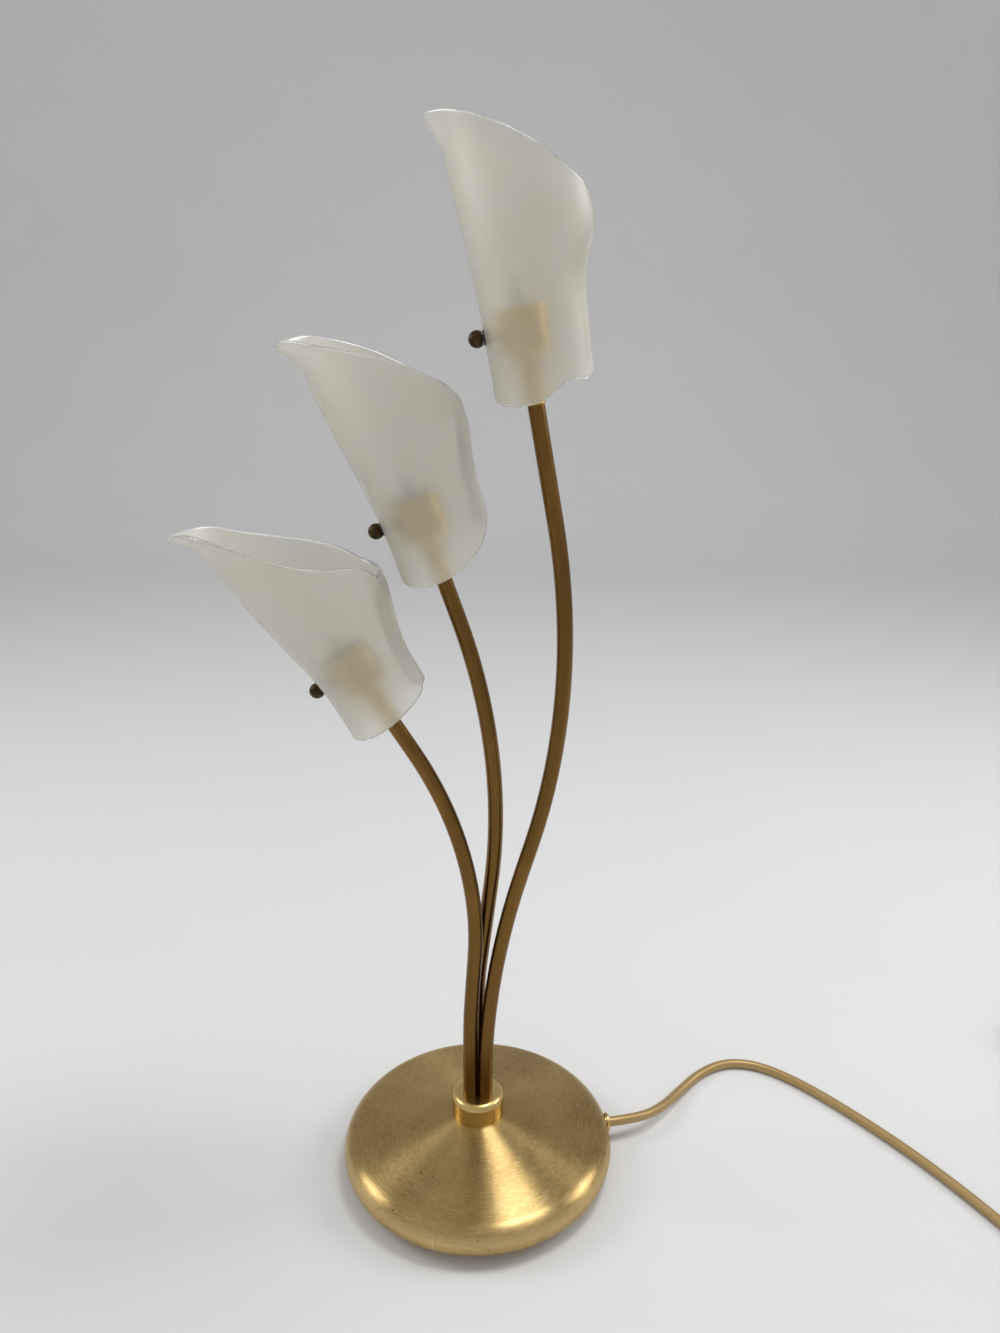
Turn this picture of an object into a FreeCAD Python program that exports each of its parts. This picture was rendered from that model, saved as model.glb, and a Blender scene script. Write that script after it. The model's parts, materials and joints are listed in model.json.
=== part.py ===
import FreeCAD, Part
import math
import os

os.makedirs("parts", exist_ok=True)

V = FreeCAD.Vector
UP = V(0, 0, 1)

# Table lamp with three bent brass stems in one collar, each carrying a rolled glass tulip shade.
# Millimetres and degrees. Origin: centre of the felt's underside. +Z up, the stems lean towards -X,
# the side that is looked at faces -Y.

# ---- tube and fits
TUBE_OD = 10.0            # M10 x 1 lighting tube
TUBE_WALL = 1.0
SLEEVE_GAP = 0.05         # radial, sleeves and threads on the tube
RUN_GAP = 0.05            # radial, shafts that turn
FACE_GAP = 0.3            # between faces that move past each other

# ---- base
BASE_RADIUS = 96.0
EQUATOR_Z = 15.0          # height of the widest ring
SHELL_WALL = 1.2
CONE_DROP = 11.9          # slope of the spun cone
CROWN_BEND = 10.0         # bend radius round the collar's seat
SHOULDER_BEND = 13.0
RIM_BEND = 8.0
RIM_TURN = 62.0
FELT_THICK = 1.5
PLATE_THICK = 1.5
FELT_MARGIN = 1.0
BALLAST_THICK = 8.0
BALLAST_BORE = 18.0       # radius
BALLAST_MARGIN = 3.0

# ---- collar
COLLAR_RADIUS = 18.25
COLLAR_HEIGHT = 16.0
COLLAR_ROUND = 4.5
CHAMBER_RADIUS = 8.0      # wire chamber under the stems
CHAMBER_FLOOR = 4.5
CHAMBER_HEIGHT = 5.5
STEM_PITCH = 10.5         # the three stems stand in a triangle

# ---- threaded pipe through the base
PIPE_WALL = 1.0
NUT_ACROSS = 14.0
NUT_THICK = 4.0
WASHER_THICK = 1.0
WASHER_RADIUS = 11.0
TAG_THICK = 0.8
WINDOW_HEIGHT = 13.0      # opening in the pipe's side for the leads
LAMP_LEAD_OD = 3.2
DISH_RADIUS = 14.0        # raised middle of the base plate
DISH_RISE = 5.5

# ---- terminals, clear of the pipe
BLOCK_AT = 37.0           # distances from the pipe along the lead
BLOCK_LENGTH = 18.0
BLOCK_WIDTH = 26.0
BLOCK_HEIGHT = 12.0
SHEATH_FROM = 55.0
CLAMP_AT = 63.0
CLAMP_SCREW_RADIUS = 1.5

# ---- stems: (length,) is a straight run, (radius, turn) a bend, a turn to the left is positive
STEMS = {
    "low": {"corner": 210.0, "path": [(50.8,), (490.0, -3.8), (35.7,), (233.6, 9.4), (258.2, 26.4),
                                      (16.0,)]},
    "middle": {"corner": 90.0, "path": [(78.5,), (260.0, -6.8), (61.0,), (405.0, 26.2), (18.7,)]},
    "top": {"corner": 330.0, "path": [(16.0,), (591.0, -16.4), (22.0,), (453.5, 26.9), (59.3,)]},
}

# ---- lampholder group, heights along the stem's end from the glass's lower edge
FERRULE_FROM = 8.5
FERRULE_HEIGHT = 7.5
FERRULE_RADIUS = 5.8
FERRULE_TOP_RADIUS = 6.3
NECK_RADIUS = 7.5
CUP_FROM = 35.5
CUP_HEIGHT = 26.0
CUP_RADIUS = 14.75
CUP_WALL = 0.9
CUP_ROUND = 2.5
HOLDER_RADIUS = 10.0
HOLDER_HEIGHT = 17.0
HOLDER_BITE = 4.0         # how far the tube screws into the holder
SLOT_LENGTH = 15.0
SLOT_WIDTH = 4.6
SLOT_DEPTH = 8.0
BULB_RADIUS = 6.75
BULB_HEIGHT = 25.0
PINCH_LENGTH = 14.0
PINCH_WIDTH = 4.0
PINCH_HEIGHT = 11.0

# ---- shade screw
SCREW_HEIGHT = 49.0
SCREW_RADIUS = 2.0
BALL_RADIUS = 4.9
BALL_FLAT = 3.2           # ball's centre to its flat
BOSS_RADIUS = 3.5
GLASS_HOLE = 3.1          # radius
GROMMET_FLANGE = 4.3
GROMMET_LIP = 0.9
SEAT_DIP = 0.6            # hollow of the glass across the inner flange

# ---- rolled glass shade: turn 0 is the crest over the screw, +90 the front
GLASS_WALL = 2.6
SEAM_GAP = 0.6            # between the two leaves where the sheet overlaps
SEAM_OUTER = 168.0        # turn where the outer leaf ends
SEAM_INNER = -207.0       # turn where the inner leaf ends
TIP_SPREAD = 24.0
# per shade: "front" and "back" are the rim's heights by turn, "foot" the lower edge's, "crest" and
# "seam" the outer face's distance from the cup's axis by height, over the screw and opposite it, and
# "tip" where the curl starts, its height and its reach
SHADES = {
    "low": {
        "front": [(0, 175), (30, 170), (60, 161), (90, 141), (120, 117), (145, 105), (168, 96)],
        "back": [(0, 175), (30, 168), (60, 153), (90, 136), (120, 118), (150, 98), (207, 92)],
        "foot": [(0, 15), (45, 12), (90, 12), (130, 15), (168, 19), (207, 19)],
        "crest": [(5, 25.6), (38, 23.8), (55, 24.3), (77, 27.0), (101, 30.4), (127, 33.2), (180, 37)],
        "seam": [(5, 33.5), (28, 34.4), (42, 35.4), (55, 38.2), (67, 42.2), (79, 46.4), (90, 48.8), (180, 52)],
        "tip": (147, 175, 13.5),
    },
    "middle": {
        "front": [(0, 167), (30, 165), (60, 158.5), (90, 148), (120, 134), (145, 119), (168, 108)],
        "back": [(0, 167), (30, 168), (60, 162), (90, 150), (120, 131), (150, 113), (207, 103)],
        "foot": [(0, 18), (45, 13), (90, 12), (120, 16), (145, 23), (168, 33), (207, 33)],
        "crest": [(5, 23.7), (38, 23.7), (55, 24.1), (79, 26.7), (101, 29.4), (123, 31.9), (180, 36)],
        "seam": [(5, 35.0), (28, 37.5), (47, 39.5), (58, 39.8), (75, 42.6), (89, 45.8), (105, 47.6), (180, 51)],
        "tip": (143, 167, 11.0),
    },
    "top": {
        "front": [(0, 163), (30, 162), (60, 157.5), (90, 148.5), (120, 133.5), (145, 118), (168, 107)],
        "back": [(0, 163), (30, 161.5), (60, 156), (90, 147), (120, 132), (150, 116), (207, 110)],
        "foot": [(0, 16), (45, 11), (90, 10.5), (130, 18.5), (155, 17.5), (168, 14), (207, 21)],
        "crest": [(5, 22.8), (38, 22.2), (60, 22.2), (86, 23.6), (115, 25.4), (140, 26.6), (180, 28)],
        "seam": [(5, 33.5), (29, 34.6), (47, 35.4), (65, 36.8), (75, 38.9), (83, 41.9), (92, 45.3), (102, 47.6),
                 (125, 49.5), (180, 51)],
        "tip": (140, 163, 8.5),
    },
}
CORNER_TURN = 22.0        # the rim's corners at the seam round off over this turn
CORNER_DROP = 18.0

# ---- mains lead
CORD_OD = 6.9
CORD_EXIT_TURN = 10.0     # round the base from +X
BUSH_RADIUS = 5.0
BUSH_FLANGE = 6.5
BUSH_LIP = 2.2
BUSH_DEPTH = 5.0
TABLE_GAP = 0.05
CORD_Z = CORD_OD / 2 + TABLE_GAP

# in-line switch
SWITCH_LENGTH = 62.0
SWITCH_WIDTH = 28.0
SWITCH_END = 13.0
SWITCH_HEIGHT = 17.0
SWITCH_ROUND = 3.0
SWITCH_START = (416.0, -88.5)
SWITCH_HEADING = 8.0
ROCKER_LENGTH = 22.0
ROCKER_WIDTH = 11.0
ROCKER_TILT = 8.0
ROCKER_PIVOT = 4.5        # above the housing's split
ROCKER_PIN = 1.5

# mains plug
PLUG_RADIUS = 18.5
PLUG_FLAT = 17.0
PLUG_BODY = 40.0
PLUG_SLEEVE = 20.0
PLUG_PIN_RADIUS = 2.4
PLUG_PIN_LENGTH = 19.0
PLUG_PIN_PITCH = 19.0

# coil of the put-away length: two layers of turns
COIL_RADIUS = 42.0
COIL_PITCH = 7.5
COIL_START = (451.6, 37.5)
LOWER_QUARTERS = 8
CLIMB_QUARTERS = 2
UPPER_QUARTERS = 9

# route of the lead on the table, chosen by hand; the first and last points follow what they meet
LEAD_ROUTE = [
    (119.5, 21.1, 15.0), (139.0, 37.5, 9.4), (157.0, 61.0, 4.3), (179.0, 85.0, CORD_Z),
    (204.0, 97.0, CORD_Z), (230.5, 92.0, CORD_Z), (258.0, 71.0, CORD_Z), (288.0, 38.0, CORD_Z),
    (317.0, 1.0, CORD_Z), (342.5, -39.0, CORD_Z), (361.0, -74.0, CORD_Z), (376.8, -86.2, 4.8),
    (396.2, -91.3, 8.5),
]
LINK_ROUTE = [
    (497.2, -77.1, 8.5), (515.4, -64.8, 5.0), (527.4, -44.1, CORD_Z), (529.4, -16.1, CORD_Z),
    (518.9, 9.8, CORD_Z), (500.0, 29.0, CORD_Z), (478.0, 38.2, CORD_Z),
]
TAIL_ROUTE = [(496.1, 20.0, 11.0), (494.0, 40.0, 14.0), (491.5, 57.0, 17.0)]


# ---------------------------------------------------------------- outlines and paths
def trace(start, heading, steps, y=0.0):
    """Runs and tangent bends in the upright plane at y, from start (x, z).

    Returns the edges, the end point (x, z) and the end heading. A heading of 0 points to +X and 90
    straight up.
    """
    x, z = start
    edges = []
    for step in steps:
        turn_from = math.radians(heading)
        if len(step) == 1:
            end = (x + step[0] * math.cos(turn_from), z + step[0] * math.sin(turn_from))
            edges.append(Part.LineSegment(V(x, y, z), V(end[0], y, end[1])).toShape())
        else:
            radius, turn = step
            side = math.copysign(1.0, turn)
            centre = (x - side * radius * math.sin(turn_from), z + side * radius * math.cos(turn_from))
            points = []
            for share in (0.5, 1.0):
                now = turn_from + share * math.radians(turn)
                points.append((centre[0] + side * radius * math.sin(now),
                               centre[1] - side * radius * math.cos(now)))
            middle, end = points
            arc = Part.Arc(V(x, y, z), V(middle[0], y, middle[1]), V(end[0], y, end[1]))
            edges.append(arc.toShape())
            heading += turn
        x, z = end
    return edges, (x, z), heading


def rounded_edges(points, radii, closed=False):
    """Straight runs joined by tangent arcs: radii[i] rounds point i, and 0 leaves it sharp."""
    count = len(points)
    entries = []
    exits = []
    edges = []
    middles = []
    for i in range(count):
        here = points[i]
        radius = radii[i]
        if radius <= 0 or (not closed and i in (0, count - 1)):
            entries.append(here)
            exits.append(here)
            middles.append(None)
            continue
        back = (points[i - 1] - here).normalize()
        ahead = (points[(i + 1) % count] - here).normalize()
        half_angle = back.getAngle(ahead) / 2
        reach = radius / math.tan(half_angle)
        inward = (back + ahead).normalize()
        entries.append(here + back * reach)
        exits.append(here + ahead * reach)
        middles.append(here + inward * (radius / math.sin(half_angle) - radius))
    for i in range(count):
        if middles[i] is not None:
            edges.append(Part.Arc(entries[i], middles[i], exits[i]).toShape())
        if i == count - 1 and not closed:
            break
        following = entries[(i + 1) % count]
        if (following - exits[i]).Length > 1e-6:
            edges.append(Part.LineSegment(exits[i], following).toShape())
    return edges


def turned(outline):
    """Solid of revolution about Z from (radius, z) or (radius, z, rounding) corners."""
    points = [V(corner[0], 0, corner[1]) for corner in outline]
    radii = [corner[2] if len(corner) > 2 else 0.0 for corner in outline]
    wire = Part.Wire(rounded_edges(points, radii, closed=True))
    return Part.Face(wire).revolve(V(0, 0, 0), UP, 360)


def ring(outer, inner, low, high):
    """Plain ring about Z."""
    return turned([(inner, low), (outer, low), (outer, high), (inner, high)])


def rod(radius, start, end):
    """Round bar between two points."""
    along = end - start
    return Part.makeCylinder(radius, along.Length, start, along)


def hex_nut(across, bore, low, height):
    """Hexagon nut about Z with its top and bottom corners turned off."""
    corner = across / math.sqrt(3)
    corners = [V(corner * math.cos(math.radians(60 * i)), corner * math.sin(math.radians(60 * i)), low)
               for i in range(7)]
    prism = Part.Face(Part.makePolygon(corners)).extrude(V(0, 0, height))
    bevel = corner - across / 2
    cap = turned([(bore, low), (across / 2, low), (corner, low + bevel), (corner, low + height - bevel),
                  (across / 2, low + height), (bore, low + height)])
    return prism.common(cap)


def sweep(edges, radius):
    """Round bar along tangent edges."""
    spine = Part.Wire(edges)
    start = edges[0].valueAt(edges[0].FirstParameter)
    along = edges[0].tangentAt(edges[0].FirstParameter)
    section = Part.Wire(Part.makeCircle(radius, start, along))
    return spine.makePipeShell([section], True, False)


def write(name, shape):
    """One STEP file for each named piece."""
    if not shape.isValid():
        print("not valid:", name)
    shape.exportStep("parts/" + name + ".step")


# ---------------------------------------------------------------- heights that follow from the sizes
PLATE_TOP = FELT_THICK + PLATE_THICK
DISH_TOP = PLATE_TOP + DISH_RISE
BALLAST_TOP = PLATE_TOP + BALLAST_THICK

crown_flat = COLLAR_RADIUS
drop = math.radians(CONE_DROP)
cone_start = crown_flat + CROWN_BEND * math.sin(drop)
cone_end = BASE_RADIUS - SHOULDER_BEND * (1 - math.sin(drop))
CONE_RUN = (cone_end - cone_start) / math.cos(drop)
SHELL_TOP = (EQUATOR_Z + SHOULDER_BEND * math.cos(drop) + CONE_RUN * math.sin(drop)
             + CROWN_BEND * (1 - math.cos(drop)))
COLLAR_TOP = SHELL_TOP + COLLAR_HEIGHT
CHAMBER_LOW = SHELL_TOP + CHAMBER_FLOOR
STEM_FOOT = CHAMBER_LOW + CHAMBER_HEIGHT
TUBE_RADIUS = TUBE_OD / 2
TUBE_BORE = TUBE_RADIUS - TUBE_WALL
FIT_RADIUS = TUBE_RADIUS + SLEEVE_GAP
PIPE_BOTTOM = FELT_THICK + 0.3
WINDOW_LOW = BALLAST_TOP + 3.0
EXIT_DIRECTION = V(math.cos(math.radians(CORD_EXIT_TURN)), math.sin(math.radians(CORD_EXIT_TURN)), 0)


# ---------------------------------------------------------------- base
def shell_line(inset):
    """Outline of the spun shell from the pipe hole down to its foot, inset from the outer face."""
    under_turn = 180.0 - 90.0 - RIM_TURN
    rim_fall = RIM_BEND * math.sin(math.radians(RIM_TURN))
    under = (EQUATOR_Z - rim_fall - PLATE_TOP) / (1 - math.cos(math.radians(under_turn)))
    steps = [
        (crown_flat - FIT_RADIUS,),
        (CROWN_BEND - inset, -CONE_DROP),
        (CONE_RUN,),
        (SHOULDER_BEND - inset, CONE_DROP - 90.0),
        (RIM_BEND - inset, -RIM_TURN),
        (under - inset, -under_turn),
    ]
    return trace((FIT_RADIUS, SHELL_TOP - inset), 0.0, steps)


def foot_radius():
    """Where the shell stands on the base plate."""
    return shell_line(0.0)[1][0]


def base_shell():
    outer, outer_end, _ = shell_line(0.0)
    inner, inner_end, _ = shell_line(SHELL_WALL)
    foot = Part.LineSegment(V(outer_end[0], 0, outer_end[1]), V(inner_end[0], 0, inner_end[1])).toShape()
    top = Part.LineSegment(V(FIT_RADIUS, 0, SHELL_TOP - SHELL_WALL), V(FIT_RADIUS, 0, SHELL_TOP)).toShape()
    edges = Part.__sortEdges__(outer + [foot] + inner + [top])
    shell = Part.Face(Part.Wire(edges)).revolve(V(0, 0, 0), UP, 360)
    hole = rod(BUSH_RADIUS + SLEEVE_GAP, EXIT_DIRECTION * (BASE_RADIUS - 20) + UP * EQUATOR_Z,
               EXIT_DIRECTION * (BASE_RADIUS + 5) + UP * EQUATOR_Z)
    return shell.cut(hole)


def base_plate():
    """Steel plate under the shell's foot, with a raised middle that hides the nut."""
    rim = foot_radius() + FELT_MARGIN * 2
    low = FELT_THICK
    return turned([(FIT_RADIUS, DISH_TOP - PLATE_THICK), (DISH_RADIUS - PLATE_THICK, DISH_TOP - PLATE_THICK),
                   (DISH_RADIUS, low), (rim, low), (rim, PLATE_TOP), (DISH_RADIUS + PLATE_THICK, PLATE_TOP),
                   (DISH_RADIUS, DISH_TOP), (FIT_RADIUS, DISH_TOP)])


def base_felt():
    return Part.makeCylinder(foot_radius() + FELT_MARGIN, FELT_THICK)


def ballast():
    outer = foot_radius() - BALLAST_MARGIN
    return turned([(BALLAST_BORE, PLATE_TOP), (outer, PLATE_TOP), (outer, BALLAST_TOP, 1.5),
                   (BALLAST_BORE, BALLAST_TOP, 1.0)])


def collar():
    """Round collar with a socket for each stem and a wire chamber below them."""
    body = turned([(FIT_RADIUS, SHELL_TOP), (COLLAR_RADIUS, SHELL_TOP, 0.4),
                   (COLLAR_RADIUS, COLLAR_TOP, COLLAR_ROUND), (0, COLLAR_TOP), (0, STEM_FOOT),
                   (CHAMBER_RADIUS, STEM_FOOT), (CHAMBER_RADIUS, CHAMBER_LOW), (FIT_RADIUS, CHAMBER_LOW)])
    for name in STEMS:
        x, y = stem_place(name)
        body = body.cut(Part.makeCylinder(FIT_RADIUS, COLLAR_HEIGHT * 2, V(x, y, STEM_FOOT)))
    return body


def lamp_pipe():
    """Threaded pipe that ties the base together, with a window for the leads."""
    pipe = ring(TUBE_RADIUS, TUBE_RADIUS - PIPE_WALL, PIPE_BOTTOM, CHAMBER_LOW)
    width = 7.4
    window = Part.makeBox(12, width, WINDOW_HEIGHT, V(0, -width / 2, WINDOW_LOW))
    window.rotate(V(0, 0, 0), UP, CORD_EXIT_TURN)
    return pipe.cut(window)


def pipe_washers():
    under_crown = SHELL_TOP - SHELL_WALL - WASHER_THICK
    under_dish = DISH_TOP - PLATE_THICK - WASHER_THICK
    return Part.makeCompound([ring(WASHER_RADIUS, FIT_RADIUS, under_crown, under_crown + WASHER_THICK),
                              ring(WASHER_RADIUS, FIT_RADIUS, under_dish, under_dish + WASHER_THICK)])


def earth_tag():
    """Ring tag held between the upper washer and its nut, with a lug for the earth wire."""
    top = SHELL_TOP - SHELL_WALL - WASHER_THICK
    lug = Part.makeBox(20, 6, TAG_THICK, V(0, -3, top - TAG_THICK))
    disc = Part.makeCylinder(9.0, TAG_THICK, V(0, 0, top - TAG_THICK))
    tag = disc.fuse(lug).cut(Part.makeCylinder(FIT_RADIUS, 10, V(0, 0, top - 5)))
    tag.rotate(V(0, 0, 0), UP, CORD_EXIT_TURN + 70)
    return tag


def pipe_nuts():
    under_crown = SHELL_TOP - SHELL_WALL - WASHER_THICK - TAG_THICK - NUT_THICK
    under_dish = DISH_TOP - PLATE_THICK - WASHER_THICK - NUT_THICK
    return Part.makeCompound([hex_nut(NUT_ACROSS, FIT_RADIUS, under_crown, NUT_THICK),
                              hex_nut(NUT_ACROSS, FIT_RADIUS, under_dish, NUT_THICK)])


# ---------------------------------------------------------------- inside the base
def at_exit(shape, distance):
    """Moves a shape built at the origin out along the lead's direction and turns it to face there."""
    shape.rotate(V(0, 0, 0), UP, CORD_EXIT_TURN)
    shape.translate(EXIT_DIRECTION * distance)
    return shape


def terminal_block():
    block = Part.makeBox(BLOCK_LENGTH, BLOCK_WIDTH, BLOCK_HEIGHT,
                         V(-BLOCK_LENGTH / 2, -BLOCK_WIDTH / 2, BALLAST_TOP))
    block = block.makeFillet(1.0, [edge for edge in block.Edges if edge.BoundBox.ZLength > 1])
    for i in (-1, 0, 1):
        y = i * BLOCK_WIDTH / 3
        bore = Part.makeCylinder(1.6, BLOCK_LENGTH + 2, V(-BLOCK_LENGTH / 2 - 1, y, BALLAST_TOP + 5),
                                 V(1, 0, 0))
        block = block.cut(bore)
        for x in (-4.5, 4.5):
            block = block.cut(Part.makeCylinder(2.0, BLOCK_HEIGHT, V(x, y, BALLAST_TOP + 7)))
    return at_exit(block, BLOCK_AT)


def terminal_screws():
    screws = []
    for i in (-1, 0, 1):
        for x in (-4.5, 4.5):
            screw = Part.makeCylinder(2.0 - RUN_GAP, 3.5, V(x, i * BLOCK_WIDTH / 3, BALLAST_TOP + 7))
            slot = Part.makeBox(4, 0.6, 0.8, V(x - 2, i * BLOCK_WIDTH / 3 - 0.3, BALLAST_TOP + 9.7))
            screws.append(screw.cut(slot))
    return at_exit(Part.makeCompound(screws), BLOCK_AT)


def cord_clamp():
    """Saddle over the lead, screwed to the ballast."""
    width = 7.0
    reach = 12.0
    radius = CORD_OD / 2
    top = EQUATOR_Z + radius + 1.2
    strap = Part.makeBox(width, reach * 2, BALLAST_THICK, V(-width / 2, -reach, BALLAST_TOP))
    hump = Part.makeCylinder(radius + 1.2, width, V(-width / 2, 0, EQUATOR_Z), V(1, 0, 0))
    plate = Part.makeBox(width, reach * 2, 1.2, V(-width / 2, -reach, BALLAST_TOP))
    sides = Part.makeBox(width, 2 * (radius + 1.2), EQUATOR_Z - BALLAST_TOP,
                         V(-width / 2, -radius - 1.2, BALLAST_TOP))
    saddle = plate.fuse([hump.common(strap.fuse(hump)), sides])
    saddle = saddle.cut(Part.makeCylinder(radius, width + 2, V(-width / 2 - 1, 0, EQUATOR_Z), V(1, 0, 0)))
    saddle = saddle.cut(Part.makeBox(width + 2, radius * 2, EQUATOR_Z - BALLAST_TOP,
                                     V(-width / 2 - 1, -radius, BALLAST_TOP)))
    saddle = saddle.common(Part.makeBox(width, reach * 2, top - BALLAST_TOP,
                                        V(-width / 2, -reach, BALLAST_TOP)))
    for side in (-1, 1):
        hole = Part.makeCylinder(CLAMP_SCREW_RADIUS + SLEEVE_GAP, 4, V(0, side * (reach - 3.2), BALLAST_TOP))
        saddle = saddle.cut(hole)
    return at_exit(saddle, CLAMP_AT)


def clamp_screws():
    screws = []
    for side in (-1, 1):
        y = side * (12.0 - 3.2)
        head = turned([(0, 1.2), (2.6, 1.2), (2.6, 2.2), (1.4, 3.2), (0, 3.2)])
        shank = Part.makeCylinder(CLAMP_SCREW_RADIUS, 1.2)
        screw = head.fuse(shank)
        screw.translate(V(0, y, BALLAST_TOP))
        screws.append(screw)
    return at_exit(Part.makeCompound(screws), CLAMP_AT)


def cord_bush():
    """Flanged bush that lines the hole in the shell."""
    bore = CORD_OD / 2 + SLEEVE_GAP
    bush = turned([(bore, 0), (BUSH_RADIUS, 0), (BUSH_RADIUS, BUSH_DEPTH), (BUSH_FLANGE, BUSH_DEPTH, 0.3),
                   (BUSH_FLANGE, BUSH_DEPTH + BUSH_LIP, 0.8), (bore, BUSH_DEPTH + BUSH_LIP)])
    bush.rotate(V(0, 0, 0), V(0, 1, 0), 90)
    bush.translate(UP * EQUATOR_Z)
    return at_exit(bush, BASE_RADIUS - BUSH_DEPTH - 0.1)


BUSH_FACE = BASE_RADIUS - 0.1 + BUSH_LIP
CORD_EXIT = EXIT_DIRECTION * BUSH_FACE + UP * EQUATOR_Z


def cord_end():
    """The lead's own end inside the base, from its stripped sheath out to the bush's face."""
    return rod(CORD_OD / 2, EXIT_DIRECTION * SHEATH_FROM + UP * EQUATOR_Z, CORD_EXIT)


def cord_cores():
    """The lead's three cores, spread from the sheath to their terminals."""
    cores = []
    block_face = BLOCK_LENGTH / 2
    sheath = SHEATH_FROM - BLOCK_AT
    for i in (-1, 0, 1):
        points = [V(block_face, i * BLOCK_WIDTH / 3, EQUATOR_Z + 1),
                  V(block_face + 2.5, i * BLOCK_WIDTH / 3, EQUATOR_Z + 1),
                  V(sheath - 2.0, i * 2.1, EQUATOR_Z), V(sheath, i * 2.1, EQUATOR_Z)]
        cores.append(sweep(rounded_edges(points, [0, 2.5, 2.5, 0]), 1.0))
    return at_exit(Part.makeCompound(cores), BLOCK_AT)


# ---------------------------------------------------------------- stems and lampholders
def stem_place(name):
    corner = math.radians(STEMS[name]["corner"])
    radius = STEM_PITCH / math.sqrt(3)
    return radius * math.cos(corner), radius * math.sin(corner)


def stem_line(name):
    """The stem's centre line up to the glass's foot, and on through the ferrule into the cup."""
    x, y = stem_place(name)
    visible, end, heading = trace((x, STEM_FOOT), 90.0, STEMS[name]["path"], y)
    reach = CUP_FROM + CUP_WALL + HOLDER_BITE
    whole, _, _ = trace((x, STEM_FOOT), 90.0, STEMS[name]["path"][:-1]
                        + [(STEMS[name]["path"][-1][0] + reach,)], y)
    return whole, V(end[0], y, end[1]), heading - 90.0


def stem(name):
    edges, _, _ = stem_line(name)
    return sweep(edges, TUBE_RADIUS).cut(sweep(edges, TUBE_BORE))


def on_arm(shape, name):
    """Moves a piece from its own frame (Z along the cup, X towards the shade's screw) to its stem."""
    _, end, lean = stem_line(name)
    frame = FreeCAD.Placement(end, FreeCAD.Rotation(V(0, 1, 0), -lean))
    moved = shape.copy()
    frame = frame.multiply(FreeCAD.Placement(V(0, 0, 0), FreeCAD.Rotation(UP, 180)))
    moved.Placement = frame.multiply(moved.Placement)
    return moved


def lamp_leads():
    """Twin lead in each stem, drawn together through the chamber and the pipe to the terminals."""
    radius = LAMP_LEAD_OD / 2
    leads = []
    for level, name in enumerate(STEMS):
        x, y = stem_place(name)
        edges, _, _ = stem_line(name)
        first = edges[0].Vertexes[-1].Point
        share = 2.1 * radius / math.sqrt(3) / math.hypot(x, y)
        z = WINDOW_LOW + 1.9 + level * (LAMP_LEAD_OD + 0.4)
        corner = [EXIT_DIRECTION * (BLOCK_AT - BLOCK_LENGTH / 2) + UP * z, EXIT_DIRECTION * 9.0 + UP * z,
                  V(x * share, y * share, z), V(x * share, y * share, CHAMBER_LOW),
                  V(x, y, STEM_FOOT + 3), first]
        path = rounded_edges(corner, [0, 5.0, 2.6, 9.0, 9.0, 0]) + edges[1:]
        leads.append(sweep(path, radius))
    return Part.makeCompound(leads)


NECK_FROM = FERRULE_FROM + FERRULE_HEIGHT
HOLDER_FROM = CUP_FROM + CUP_WALL
HOLDER_TOP = HOLDER_FROM + HOLDER_HEIGHT


def ferrule():
    top = FERRULE_FROM + FERRULE_HEIGHT
    return turned([(FIT_RADIUS, FERRULE_FROM), (FERRULE_RADIUS, FERRULE_FROM, 0.25),
                   (FERRULE_RADIUS, FERRULE_FROM + 1.2), (FERRULE_RADIUS - 0.35, FERRULE_FROM + 1.6),
                   (FERRULE_TOP_RADIUS, top), (FIT_RADIUS, top)])


def neck():
    return turned([(FIT_RADIUS, NECK_FROM), (FERRULE_TOP_RADIUS, NECK_FROM),
                   (FERRULE_TOP_RADIUS, NECK_FROM + 9, 6.0), (NECK_RADIUS, CUP_FROM - 3, 1.0),
                   (NECK_RADIUS, CUP_FROM), (FIT_RADIUS, CUP_FROM)])


def cup():
    """Open-topped cup round the lampholder, with a hole for the shade's screw."""
    top = CUP_FROM + CUP_HEIGHT
    body = turned([(FIT_RADIUS, CUP_FROM), (CUP_RADIUS, CUP_FROM, CUP_ROUND), (CUP_RADIUS, top),
                   (CUP_RADIUS - CUP_WALL, top), (CUP_RADIUS - CUP_WALL, HOLDER_FROM, CUP_ROUND - CUP_WALL),
                   (FIT_RADIUS, HOLDER_FROM)])
    hole = rod(SCREW_RADIUS + RUN_GAP, V(HOLDER_RADIUS, 0, SCREW_HEIGHT),
               V(CUP_RADIUS + 2, 0, SCREW_HEIGHT))
    return body.cut(hole)


def lampholder():
    """Ceramic holder for a two-pin capsule, screwed on the stem's end."""
    body = turned([(FIT_RADIUS, HOLDER_FROM), (HOLDER_RADIUS, HOLDER_FROM, 1.0),
                   (HOLDER_RADIUS, HOLDER_TOP, 1.2), (0, HOLDER_TOP), (0, HOLDER_FROM + HOLDER_BITE),
                   (FIT_RADIUS, HOLDER_FROM + HOLDER_BITE)])
    slot = Part.makeBox(SLOT_LENGTH, SLOT_WIDTH, SLOT_DEPTH + 1,
                        V(-SLOT_LENGTH / 2, -SLOT_WIDTH / 2, HOLDER_TOP - SLOT_DEPTH))
    return body.cut(slot)


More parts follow.
